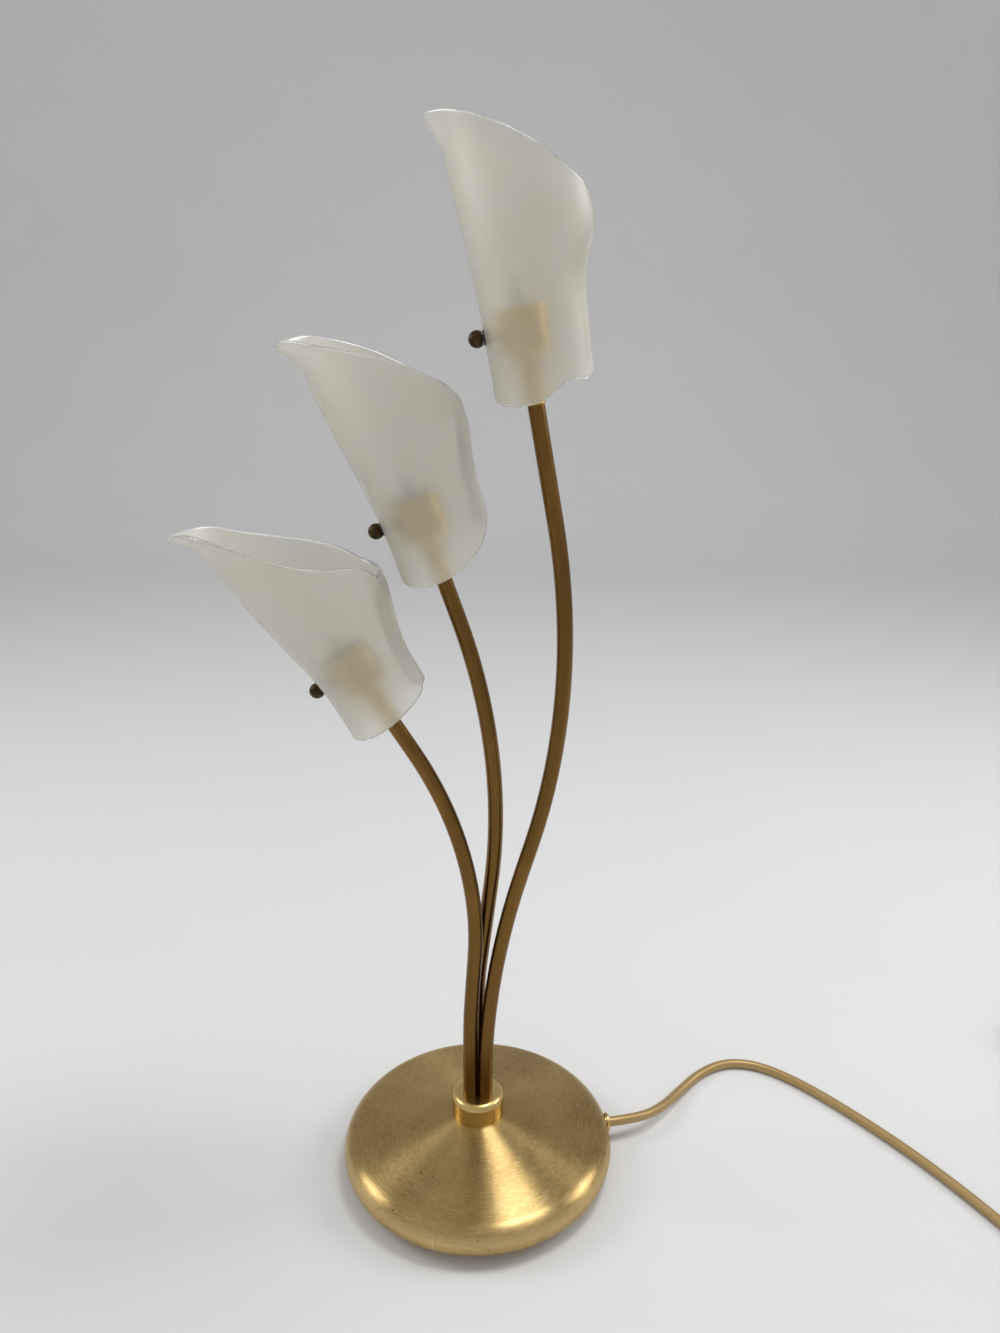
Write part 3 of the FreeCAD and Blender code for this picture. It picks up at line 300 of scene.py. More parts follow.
# ================================================================ metal finishes
# In all finishes, noise scales are in cells per metre, and lengths in metres.
def lathe_brass(colours):
    """Spun base: turning lines round the axis, pits, a few front scratch marks lightened as a
    painted highlight, and a painted highlight band on the rim.
    """
    finish = Finish("lathe_brass")
    n = finish.nodes
    x, y, z = n.split(finish.place)
    radius = (x * x + y * y).call("SQRT")
    angle = y.maths("ARCTAN2", y, x)
    lines = n.noise(n.join(radius, angle * 0.006, z), 1900.0, 3.0, 0.75)
    bands = n.noise(n.join(radius, z, 0.0), 420.0, 2.0)
    cloud = n.noise(finish.place, 24.0, 4.0, 0.6)
    pits = n.spots(finish.place, 210.0).rise(0.15, 0.07) * cloud.rise(0.50, 0.60)
    # Scratch marks in relief, only on the front of the rim; their lighter colour below is a painted
    # highlight.
    scratch_highlight_place = n.stretch(finish.place, (420.0, 30.0, 9.0))
    scratch_highlights = n.noise(scratch_highlight_place, 1.0, 1.0).rise(0.73, 0.78)
    scratch_highlights = scratch_highlights * z.rise(0.030, 0.022) * y.rise(-0.06, -0.085)
    # Painted highlight: a lighter band round the rounded rim, between 14.5 and 24.5 mm up.
    rim_highlight_band = z.rise(0.0245, 0.0215) * z.rise(0.0145, 0.0185)
    body = n.mix(cloud.rise(0.3, 0.75), colours.brass, colours.brass_dark)
    turned = lines.rise(0.40, 0.70) * 0.5 + bands.rise(0.45, 0.7) * 0.05
    body = n.mix(turned, body, colours.brass_light)
    # Painted highlight: the rim band and the front scratch marks are mixed towards bright brass.
    body = n.mix(rim_highlight_band * 0.35 + scratch_highlights * 0.6, body, colours.brass_light)
    body = n.mix(pits, body, paint(0.06, 0.035, 0.015))
    rough = 0.22 + lines * 0.08 + cloud * 0.06 + pits * 0.35 - scratch_highlights * 0.06
    height = lines * 0.5 + bands * 0.06 - pits * 1.6 - scratch_highlights * 0.8
    return finish.write(Base_Color=body, Metallic=1.0, Roughness=rough, Anisotropic=0.92,
                        Anisotropic_Rotation=0.25, Normal=n.bump(height, 0.16, 0.0002))


def bright_brass(colours):
    """Turned and polished fittings, with hairline marks and a little tarnish in places."""
    finish = Finish("bright_brass")
    n = finish.nodes
    cloud = n.noise(finish.place, 60.0, 4.0, 0.6)
    hair = n.noise(n.stretch(finish.place, (90.0, 90.0, 2200.0)), 1.0, 2.0, 0.6)
    tarnish = cloud.rise(0.52, 0.72)
    body = n.mix(tarnish * 0.55, colours.polish, colours.brass)
    body = n.mix(hair.rise(0.62, 0.75) * 0.3, body, colours.brass_light)
    rough = 0.22 + hair * 0.09 + tarnish * 0.10
    return finish.write(Base_Color=body, Metallic=1.0, Roughness=rough,
                        Normal=n.bump(hair, 0.05, 0.0001))


def bronze_tube(colours):
    """Stems: drawn tube, satin, with long streaks along it and warmer rubbed patches."""
    finish = Finish("bronze_tube")
    n = finish.nodes
    streaks = n.noise(n.stretch(finish.place, (1100.0, 1100.0, 14.0)), 1.0, 3.0, 0.6)
    patches = n.noise(n.stretch(finish.place, (30.0, 30.0, 11.0)), 1.0, 3.0, 0.6)
    specks = n.spots(finish.place, 330.0).rise(0.12, 0.05) * patches.rise(0.5, 0.6)
    body = n.mix(streaks.rise(0.2, 0.8) * 0.35 + 0.5, colours.bronze_dark, colours.bronze)
    body = n.mix(patches.rise(0.5, 0.75) * 0.5, body, colours.bronze_warm)
    body = n.mix(specks * 0.8, body, paint(0.05, 0.03, 0.015))
    rough = 0.20 + streaks * 0.08 + patches * 0.05 + specks * 0.3
    return finish.write(Base_Color=body, Metallic=1.0, Roughness=rough,
                        Normal=n.bump(streaks - specks, 0.06, 0.0001))


def dark_brass(colours):
    """Ball knobs: darkened brass, rubbed lighter in patches by fingers."""
    finish = Finish("dark_brass")
    n = finish.nodes
    cloud = n.noise(finish.place, 190.0, 4.0, 0.65)
    fine = n.noise(finish.place, 1400.0, 2.0)
    body = n.mix(cloud.rise(0.55, 0.8) * 0.5, colours.knob, colours.brass_dark)
    rough = 0.22 + cloud * 0.16 + fine * 0.05
    return finish.write(Base_Color=body, Metallic=1.0, Roughness=rough,
                        Normal=n.bump(fine, 0.05, 0.0001))


def plated_steel(name, colour, rough_from):
    """Zinc or nickel plate: faint spangle and drawn lines."""
    finish = Finish(name)
    n = finish.nodes
    spangle = n.spots(finish.place, 320.0)
    fine = n.noise(finish.place, 900.0, 3.0)
    body = n.mix(spangle * 0.5 + fine * 0.2, colour, paint(*[part * 0.7 for part in colour[:3]]))
    return finish.write(Base_Color=body, Metallic=1.0, Roughness=rough_from + fine * 0.15,
                        Normal=n.bump(fine, 0.08, 0.0001))


def cast_iron(colour):
    """Ballast: sand-cast skin with rust bloom."""
    finish = Finish("cast_iron")
    n = finish.nodes
    grain = n.noise(finish.place, 700.0, 5.0, 0.7)
    bloom = n.noise(finish.place, 45.0, 4.0).rise(0.52, 0.7)
    body = n.mix(bloom * 0.6, colour, paint(0.22, 0.09, 0.04))
    return finish.write(Base_Color=body, Metallic=1.0 - bloom * 0.8, Roughness=0.62 + grain * 0.2,
                        Normal=n.bump(grain, 0.5, 0.0006))


# ================================================================ glass, plastic and felt
def satin_glass(colours):
    """Acid-etched glass, glossy on its fire-polished edges, whose whiter colour there is a painted
    highlight, and stippled at the foot.

    The sheet's own attributes give the distance from an edge and the height, in millimetres.
    """
    finish = Finish("satin_glass")
    n = finish.nodes
    edge = n.add("ShaderNodeAttribute", {"attribute_name": "edge_distance"}, output="Fac")
    level = n.add("ShaderNodeAttribute", {"attribute_name": "height"}, output="Fac")
    cloud = n.noise(finish.place, 28.0, 3.0, 0.55)
    etch = n.noise(finish.place, 2400.0, 2.0, 0.6)
    stipple = n.noise(finish.place, 800.0, 2.0, 0.6).rise(0.45, 0.65) * level.rise(54.0, 24.0)
    # polished marks the edge bead: it gives the real gloss and coat there, and also whitens the
    # colour as a painted highlight.
    polished = edge.rise(2.4, 0.9)
    body = n.mix(cloud.rise(0.3, 0.7), colours.glass, colours.glass_warm)
    body = n.mix(polished, body, paint(1.0, 1.0, 0.985))
    rough = (0.30 + cloud * 0.08) * (1.0 - polished) + polished * 0.20 + stipple * 0.06
    relief = etch * 0.2 * (1.0 - polished) + stipple * 2.0
    return finish.write(Base_Color=body, Roughness=rough, IOR=1.46,
                        Transmission_Weight=colours.clearness, Coat_Weight=polished * 0.8,
                        Coat_Roughness=0.06, Normal=n.bump(relief, 0.16, 0.0004))


def clear_glass():
    """Bulbs: clear quartz with a faint ripple."""
    finish = Finish("clear_glass")
    n = finish.nodes
    ripple = n.noise(finish.place, 160.0, 1.0)
    return finish.write(Base_Color=n.mix(ripple, paint(0.97, 0.98, 0.98), paint(0.93, 0.95, 0.95)),
                        Roughness=0.02 + ripple * 0.02, IOR=1.47, Transmission_Weight=0.96,
                        Normal=n.bump(ripple, 0.05, 0.0003))


def moulded(name, colour, rough_from, grain_scale=1300.0, coat=0.0, metallic=0.0):
    """Moulded plastic, rubber or glaze: fine skin, slight unevenness of colour and gloss."""
    finish = Finish(name)
    n = finish.nodes
    skin = n.noise(finish.place, grain_scale, 3.0, 0.6)
    flow = n.noise(finish.place, 40.0, 3.0)
    darker = paint(*[part * 0.78 for part in colour[:3]])
    return finish.write(Base_Color=n.mix(flow.rise(0.3, 0.75), colour, darker), Metallic=metallic,
                        Roughness=rough_from + skin * 0.08 + flow * 0.05, Coat_Weight=coat,
                        Normal=n.bump(skin, 0.08, 0.0002))


def gold_sheath(colours):
    """Cord: metallic-filled plastic with a faint drag along it and scuffed dull patches."""
    finish = Finish("gold_sheath")
    n = finish.nodes
    flake = n.noise(finish.place, 2600.0, 2.0, 0.7)
    scuff = n.noise(finish.place, 46.0, 4.0, 0.6).rise(0.5, 0.7)
    body = n.mix(flake.rise(0.3, 0.7), colours.sheath_dark, colours.sheath)
    body = n.mix(scuff * 0.4, body, colours.sheath_dark)
    return finish.write(Base_Color=body, Metallic=0.55, Roughness=0.33 + flake * 0.1 + scuff * 0.12,
                        Normal=n.bump(flake, 0.06, 0.0001))


def felt_cloth(colour):
    """Base pad: matted fibres."""
    finish = Finish("felt_cloth")
    n = finish.nodes
    fibre = n.noise(n.stretch(finish.place, (900.0, 2600.0, 900.0)), 1.0, 4.0, 0.7)
    cross = n.noise(n.stretch(finish.place, (2600.0, 900.0, 900.0)), 1.0, 4.0, 0.7)
    mat = fibre.most(cross)
    lighter = paint(*[min(1.0, part * 1.8) for part in colour[:3]])
    return finish.write(Base_Color=n.mix(mat.rise(0.4, 0.7), colour, lighter),
                        Roughness=0.88 + mat * 0.1, Sheen_Weight=0.4,
                        Normal=n.bump(mat, 0.6, 0.0006))


def tungsten_wire():
    """Filaments, unlit: drawn grey metal."""
    finish = Finish("tungsten_wire")
    n = finish.nodes
    drawn = n.noise(finish.place, 4000.0, 2.0)
    return finish.write(Base_Color=n.mix(drawn, paint(0.32, 0.31, 0.30), paint(0.18, 0.17, 0.16)),
                        Metallic=1.0, Roughness=0.35 + drawn * 0.1)


# ================================================================ geometry node trees
def new_tree(name, inputs):
    """Empty geometry tree with its named inputs: its nodes, the inputs and their identifiers.

    An input whose value is None is always given by the caller of grow.
    """
    tree = bpy.data.node_groups.new(name, "GeometryNodeTree")
    tree.interface.new_socket("Geometry", in_out="INPUT", socket_type="NodeSocketGeometry")
    tree.interface.new_socket("Geometry", in_out="OUTPUT", socket_type="NodeSocketGeometry")
    identifiers = {}
    for label, (kind, value) in inputs.items():
        socket = tree.interface.new_socket(label, in_out="INPUT", socket_type="NodeSocket" + kind)
        if value is not None:
            socket.default_value = value
        identifiers[label] = socket.identifier
    nodes = Nodes(tree)
    entry = nodes.add("NodeGroupInput", output=None)
    given = {socket.name: Signal(nodes, socket) for socket in entry.outputs if socket.name}
    return nodes, given, identifiers


def close_tree(nodes, geometry, material):
    real = nodes.add("GeometryNodeRealizeInstances", None, {"Geometry": geometry})
    dressed = nodes.add("GeometryNodeSetMaterial", None, {"Geometry": real, "Material": material})
    nodes.add("NodeGroupOutput", None, {"Geometry": dressed}, None)


def grow(name, mesh, nodes, identifiers, values, after=None, matrix=None):
    """Runs a geometry tree on a mesh and keeps the result as a plain mesh.

    after may add modifiers that follow the tree; matrix moves the result.
    """
    seed = bpy.data.objects.new(name + "_seed", mesh)
    bpy.context.scene.collection.objects.link(seed)
    modifier = seed.modifiers.new("rule", "NODES")
    modifier.node_group = nodes.tree
    for label, value in values.items():
        modifier[identifiers[label]] = value
    if after is not None:
        after(seed)
    evaluated = seed.evaluated_get(bpy.context.evaluated_depsgraph_get())
    result = bpy.data.meshes.new_from_object(evaluated)
    if not result.polygons:
        raise RuntimeError(name + ": its geometry tree made no faces")
    result.name = name
    if matrix is not None:
        result.transform(matrix)
    bpy.data.objects.remove(seed)
    piece = bpy.data.objects.new(name, result)
    bpy.context.scene.collection.objects.link(piece)
    return piece


def arm_matrix(arm):
    """From an arm's own frame to the lamp's, worked out from the screw's joint."""
    joint = JOINTS["knob_" + arm + "_turn"]
    ahead = Vector(joint["axis"]).normalized()
    side = Vector((0.0, -1.0, 0.0))
    up = ahead.cross(side)
    start = Vector(joint["pos_m"]) - up * SCREW_HEIGHT * MM - ahead * SCREW_JOINT_REACH * MM
    turn = Matrix((ahead, side, up)).transposed().to_4x4()
    return Matrix.Translation(start) @ turn


def table_curve(nodes, table, span, at):
    """Smooth curve through a table of (position, millimetres)."""
    points = [(place / span, value / TABLE_HEIGHT) for place, value in table]
    share = nodes.add("ShaderNodeFloatCurve", {"points": points}, {"Value": at / span})
    return share * TABLE_HEIGHT


def sheet_tree(arm):
    """Rolled sheet as one closed skin, made from a grid.

    The grid's X runs round the cup. Its Y runs up the outer face, over the rim's bead, down the
    hollow side and under the foot's bead.
    """
    form = SHADES[arm]
    curl_from, tip, curl_reach = form["tip"]
    nodes, given, identifiers = new_tree("rolled_sheet_" + arm, {
        "Columns": ("Int", None), "Rows": ("Int", None), "Bead rows": ("Int", None),
        "Wall": ("Float", None), "Seam gap": ("Float", None), "Corner turn": ("Float", 22.0),
        "Corner drop": ("Float", 18.0), "Foot lift": ("Float", 6.0),
        "Curl reach": ("Float", curl_reach), "Curl spread": ("Float", 24.0),
        "Material": ("Material", None),
    })
    wall = given["Wall"]
    around = (given["Rows"] + given["Bead rows"]) * 2.0
    grid = nodes.add("GeometryNodeMeshGrid", None, {"Size X": 1.0, "Size Y": 1.0,
                                                    "Vertices X": given["Columns"],
                                                    "Vertices Y": around + 1.0})
    x, y, _ = nodes.split(nodes.add("GeometryNodeInputPosition"))
    across = (x * math.pi).call("SINE") * 0.5 + 0.5
    loop = (y + 0.5) * around
    up_outer = (loop / given["Rows"]).least(1.0)
    rim_bead = ((loop - given["Rows"]) / given["Bead rows"]).most(0.0).least(1.0) * math.pi
    down_inner = ((loop - given["Rows"] - given["Bead rows"]) / given["Rows"]).most(0.0).least(1.0)
    foot_bead = ((loop - around + given["Bead rows"]) / given["Bead rows"]).most(0.0) * math.pi
    up = up_outer - down_inner
    depth = (foot_bead.call("COSINE") - rim_bead.call("COSINE")) * 0.5
    turn = across * (SEAM_OUTER - SEAM_INNER) + SEAM_INNER
    from_crest = turn.call("ABSOLUTE")
    is_front = turn.maths("GREATER_THAN", turn, 0.0)
    outer_corner = 1.0 - (SEAM_OUTER - turn) / given["Corner turn"]
    inner_corner = 1.0 - (turn - SEAM_INNER) / given["Corner turn"]
    corner = outer_corner.most(inner_corner).most(0.0) ** CORNER_POWER
    front = table_curve(nodes, form["front"], BACK_END, from_crest)
    back = table_curve(nodes, form["back"], BACK_END, from_crest)
    rim = front * is_front + back * (1.0 - is_front) - given["Corner drop"] * corner
    front_foot = table_curve(nodes, form["foot"], BACK_END, from_crest)
    back_foot = table_curve(nodes, form.get("foot_back", form["foot"]), BACK_END, from_crest)
    foot = front_foot * is_front + back_foot * (1.0 - is_front) + given["Foot lift"] * corner
    middle = foot + (rim - foot) * up
    seam_radius = table_curve(nodes, form["seam"], TABLE_HEIGHT, middle)
    to_seam = across.least(1.0 - across) * math.radians(SEAM_OUTER - SEAM_INNER) * seam_radius
    bead_share = 1.0 - (to_seam / (wall * 0.5)).least(1.0)
    thick = wall * (1.0 - bead_share * bead_share).most(0.0).call("SQRT")
    lift = (rim_bead.call("SINE") - foot_bead.call("SINE")) * thick * 0.5
    height = foot + thick * 0.5 + (rim - foot - thick) * up + lift
    crest = table_curve(nodes, form["crest"], TABLE_HEIGHT, height)
    seam = table_curve(nodes, form["seam"], TABLE_HEIGHT, height)
    centre = (crest - seam) * 0.5
    radius = (crest + seam) * 0.5
    angle = turn * math.radians(1.0)
    sideways = centre * angle.call("SINE")
    reach = centre * angle.call("COSINE") + (radius * radius - sideways * sideways).call("SQRT")
    curled = ((height - curl_from) / (tip - curl_from)).most(0.0) ** CURL_POWER
    spread = turn / given["Curl spread"]
    reach = reach + given["Curl reach"] * curled * (0.0 - spread * spread).call("EXPONENT")
    reach = reach + (wall + given["Seam gap"]) * turn / 360.0 - wall * 0.5 + (0.5 - depth) * thick
    place = nodes.join(reach * angle.call("COSINE") * MM, reach * angle.call("SINE") * MM,
                       height * MM)
    edge = (rim - height).least(height - foot).least(to_seam)
    sheet = grid
    for label, value in (("edge_distance", edge), ("height", height)):
        sheet = nodes.add("GeometryNodeStoreNamedAttribute",
                          {"data_type": "FLOAT", "domain": "POINT"},
                          {"Geometry": sheet, "Name": label, "Value": value})
    sheet = nodes.add("GeometryNodeSetPosition", None, {"Geometry": sheet, "Position": place})
    sheet = nodes.add("GeometryNodeMergeByDistance", None, {"Geometry": sheet, "Distance": 0.00001})
    sheet = nodes.add("GeometryNodeSetShadeSmooth", None, {"Geometry": sheet})
    close_tree(nodes, sheet, given["Material"])
    return nodes, identifiers


def relief_tree():
    """Ribbed bend relief along a stretch of the cord: a tapered sleeve with rings round it."""
    nodes, given, identifiers = new_tree("ribbed_relief", {
        "Start": ("Float", None), "End": ("Float", None), "Radius at start": ("Float", None),
        "Radius at end": ("Float", None), "Ribs": ("Int", None), "Rib thickness": ("Float", None),
        "Material": ("Material", None),
    })
    line = nodes.add("GeometryNodeMeshToCurve", None, {"Mesh": given["Geometry"]})
    line = nodes.add("GeometryNodeTrimCurve", {"mode": "LENGTH"},
                     {"Curve": line, 4: given["Start"], 5: given["End"]})
    line = nodes.add("GeometryNodeResampleCurve", {"mode": "COUNT"}, {"Curve": line, "Count": 24})
    along = nodes.add("GeometryNodeSplineParameter", output="Factor")
    taper = given["Radius at start"] + (given["Radius at end"] - given["Radius at start"]) * along
    core = nodes.add("GeometryNodeSetCurveRadius", None, {"Curve": line, "Radius": taper})
    ring = nodes.add("GeometryNodeCurvePrimitiveCircle", {"mode": "RADIUS"},
                     {"Resolution": 32, "Radius": 1.0})
    core = nodes.add("GeometryNodeCurveToMesh", None,
                     {"Curve": core, "Profile Curve": ring, "Fill Caps": True, "Scale": taper})
    stations = nodes.add("GeometryNodeCurveToPoints", {"mode": "COUNT"},
                         {"Curve": line, "Count": given["Ribs"]}, None)
    wire = nodes.add("GeometryNodeCurvePrimitiveCircle", {"mode": "RADIUS"},
                     {"Resolution": 10, "Radius": 1.0})
    loop = nodes.add("GeometryNodeCurvePrimitiveCircle", {"mode": "RADIUS"},
                     {"Resolution": 32, "Radius": 1.0})
    rib_share = given["Rib thickness"] / given["Radius at start"]
    rib = nodes.add("GeometryNodeCurveToMesh", None,
                    {"Curve": loop, "Profile Curve": wire, "Scale": rib_share})
    index = nodes.add("GeometryNodeInputIndex")
    rib_taper = given["Radius at start"] + (given["Radius at end"] - given["Radius at start"]) * (
        index / (given["Ribs"] - 1.0))
    ribs = nodes.add("GeometryNodeInstanceOnPoints", None, {
        "Points": Signal(nodes, stations.outputs["Points"]), "Instance": rib,
        "Rotation": Signal(nodes, stations.outputs["Rotation"]), "Scale": rib_taper})
    both = nodes.add("GeometryNodeJoinGeometry", None, {"Geometry": [core, ribs]})
    smooth = nodes.add("GeometryNodeSetShadeSmooth", None, {"Geometry": both})
    close_tree(nodes, smooth, given["Material"])
    return nodes, identifiers


def filament_tree():
    """Coiled wire of a capsule bulb."""
    nodes, given, identifiers = new_tree("coiled_wire", {
        "Turns": ("Float", 14.0), "Coil radius": ("Float", 0.0009), "Height": ("Float", 0.011),
        "Wire radius": ("Float", 0.00013), "Material": ("Material", None),
    })
    coil = nodes.add("GeometryNodeCurveSpiral", None, {
        "Resolution": 14, "Rotations": given["Turns"], "Start Radius": given["Coil radius"],
        "End Radius": given["Coil radius"], "Height": given["Height"]})
    wire = nodes.add("GeometryNodeCurvePrimitiveCircle", {"mode": "RADIUS"},
                     {"Resolution": 6, "Radius": given["Wire radius"]})
    tube = nodes.add("GeometryNodeCurveToMesh", None,
                     {"Curve": coil, "Profile Curve": wire, "Fill Caps": True})
    smooth = nodes.add("GeometryNodeSetShadeSmooth", None, {"Geometry": tube})
    close_tree(nodes, smooth, given["Material"])
    return nodes, identifiers


# ================================================================ cord
def coil_points():
    """Control points of the put-away turns: in, up one layer, and out again over them."""
    quarters = LOWER_QUARTERS + CLIMB_QUARTERS + UPPER_QUARTERS
    turning_point = LOWER_QUARTERS + CLIMB_QUARTERS / 2
    step = math.radians(90.0 / POINTS_PER_QUARTER)
    inside_polygon = (3.0 + math.cos(step)) / 4.0
    points = []
    for i in range(quarters * POINTS_PER_QUARTER + 1):
        quarter = i / POINTS_PER_QUARTER
        radius = COIL_RADIUS - COIL_PITCH / 4 * (turning_point - abs(quarter - turning_point))
        climbed = min(1.0, max(0.0, (quarter - LOWER_QUARTERS) / CLIMB_QUARTERS))
        climbed = climbed * climbed * (3.0 - 2.0 * climbed)
        angle = math.radians(90.0 * (quarter + 1))
        points.append((COIL_CENTRE[0] + radius / inside_polygon * math.cos(angle),
                       COIL_CENTRE[1] + radius / inside_polygon * math.sin(angle),
                       CORD_Z + COIL_PITCH * climbed))
    return points


def cord_route():
    route = [CORD_EXIT] + LEAD_ROUTE + [SWITCH_IN, SWITCH_OUT] + LINK_ROUTE + coil_points()
    return [Vector(point) * MM for point in route + TAIL_ROUTE + [PLUG_START]]


def route_curve(name, points, radius):
    """One open spline of order 3 with the route's points as its control points."""
    curve = bpy.data.curves.new(name, "CURVE")
    curve.dimensions = "3D"
    spline = curve.splines.new("NURBS")
    spline.points.add(len(points) - 1)
    for point, place in zip(spline.points, points):
        point.co = (place.x, place.y, place.z, 1.0)
    spline.order_u = 3
    spline.use_endpoint_u = True
    curve.resolution_u = CORD_STEPS
    curve.bevel_depth = radius
    curve.bevel_resolution = CORD_RING
    curve.use_fill_caps = True
    piece = bpy.data.objects.new(name, curve)
    bpy.context.scene.collection.objects.link(piece)
    return piece


def centreline(points):
    """The route's smooth line as a mesh of plain edges, its points and its length up to each."""
    line = route_curve("centreline", points, 0.0)
    line.data.use_fill_caps = False
    evaluated = line.evaluated_get(bpy.context.evaluated_depsgraph_get())
    mesh = bpy.data.meshes.new_from_object(evaluated)
    bpy.data.objects.remove(line)
    places = [vertex.co.copy() for vertex in mesh.vertices]
    lengths = [0.0]
    for before, here in zip(places, places[1:]):
        lengths.append(lengths[-1] + (here - before).length)
    return mesh, places, lengths


def length_at(target, places, lengths):
    nearest = min(range(len(places)), key=lambda i: (places[i] - target).length)
    return lengths[nearest]


# ================================================================ properties
class LampGlassSizes(bpy.types.PropertyGroup):
    wall: bpy.props.FloatProperty(
        name="Glass thickness", description="Thickness of the rolled sheet, mm",
        default=2.6, min=1.5, max=4.0)
    seam_gap: bpy.props.FloatProperty(
        name="Seam gap", description="Gap between the overlapping leaves, mm",
        default=0.6, min=0.2, max=2.0)
    columns: bpy.props.IntProperty(
        name="Columns", description="Points round the sheet", default=150, min=60, max=240)
    rows: bpy.props.IntProperty(
        name="Rows", description="Points up the sheet", default=56, min=24, max=120)
    bead_rows: bpy.props.IntProperty(
        name="Bead rows", description="Points over the fire-polished edge",
        default=8, min=4, max=16)


class LampCordSizes(bpy.types.PropertyGroup):
    diameter: bpy.props.FloatProperty(
        name="Cord diameter", description="Over the sheath",
        default=0.0069, min=0.005, max=0.009, unit="LENGTH")
    length: bpy.props.FloatProperty(
        name="Cord length", description="Declared length, from the base to the plug",
        default=1.8, min=1.2, max=2.5, unit="LENGTH")
    relief: bpy.props.FloatProperty(
        name="Relief length", description="Bend relief at the switch and plug",
        default=0.022, min=0.020, max=0.060, unit="LENGTH")
    relief_radius: bpy.props.FloatProperty(
        name="Relief radius", description="Where it meets its housing",
        default=0.0052, min=0.0045, max=0.007, unit="LENGTH")
    ribs: bpy.props.IntProperty(
        name="Ribs", description="Rings on each relief", default=7, min=3, max=12)


def colour_property(name, description, *colour):
    return bpy.props.FloatVectorProperty(
        name=name, description=description, subtype="COLOR", size=4,
        min=0.0, max=1.0, default=paint(*colour))


class LampColours(bpy.types.PropertyGroup):
    brass: colour_property("Brass", "Base shell", 0.50, 0.345, 0.135)
    brass_dark: colour_property("Dark brass", "Tarnish on the base", 0.36, 0.235, 0.085)
    # Bright brass also paints the highlight band on the base's rim and the highlight on its front
    # scratch marks.
    brass_light: colour_property("Bright brass", "Lines, scratches and wear", 0.74, 0.57, 0.29)
    polish: colour_property("Polished brass", "Collar, cups and ferrules", 0.66, 0.475, 0.19)
    bronze: colour_property("Bronze", "Stems", 0.20, 0.108, 0.030)
    bronze_dark: colour_property("Dark bronze", "Streaks on the stems", 0.13, 0.073, 0.020)
    bronze_warm: colour_property("Warm bronze", "Rubbed places on the stems", 0.33, 0.165, 0.045)
    knob: colour_property("Knob", "Ball screws", 0.055, 0.036, 0.018)
    glass: colour_property("Glass", "Satin glass", 0.985, 0.972, 0.92)
    glass_warm: colour_property("Warm glass", "Creamier parts of the glass", 0.985, 0.95, 0.84)
    sheath: colour_property("Cord", "Gold sheath", 0.50, 0.35, 0.15)
    sheath_dark: colour_property("Dark cord", "Scuffed sheath", 0.36, 0.24, 0.10)
    clearness: bpy.props.FloatProperty(
        name="Glass clearness", description="Share of light let through",
        default=0.80, min=0.0, max=1.0, subtype="FACTOR")


class LampStage(bpy.types.PropertyGroup):
    floor: colour_property("Floor", "Pale floor and backdrop", 0.78, 0.78, 0.78)
    key_power: bpy.props.FloatProperty(
        name="Key light", description="Power of the soft light above",
        default=9.5, min=0.0, max=200.0, unit="POWER")
    fill_power: bpy.props.FloatProperty(
        name="Fill light", description="Power of each side light",
        default=5.5, min=0.0, max=200.0, unit="POWER")
    world: bpy.props.FloatProperty(
        name="Ambient", description="Strength of the even light",
        default=0.52, min=0.0, max=2.0)


# ================================================================ operators
class LampOperator:
    """Shared by the operators that make pieces: a piece gets its body, and the nodes it replaces
    are hidden.
    """

    @staticmethod
    def settle(piece, body, slot, *replaced):
        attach(piece, body)
        if replaced:
            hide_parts(*replaced)


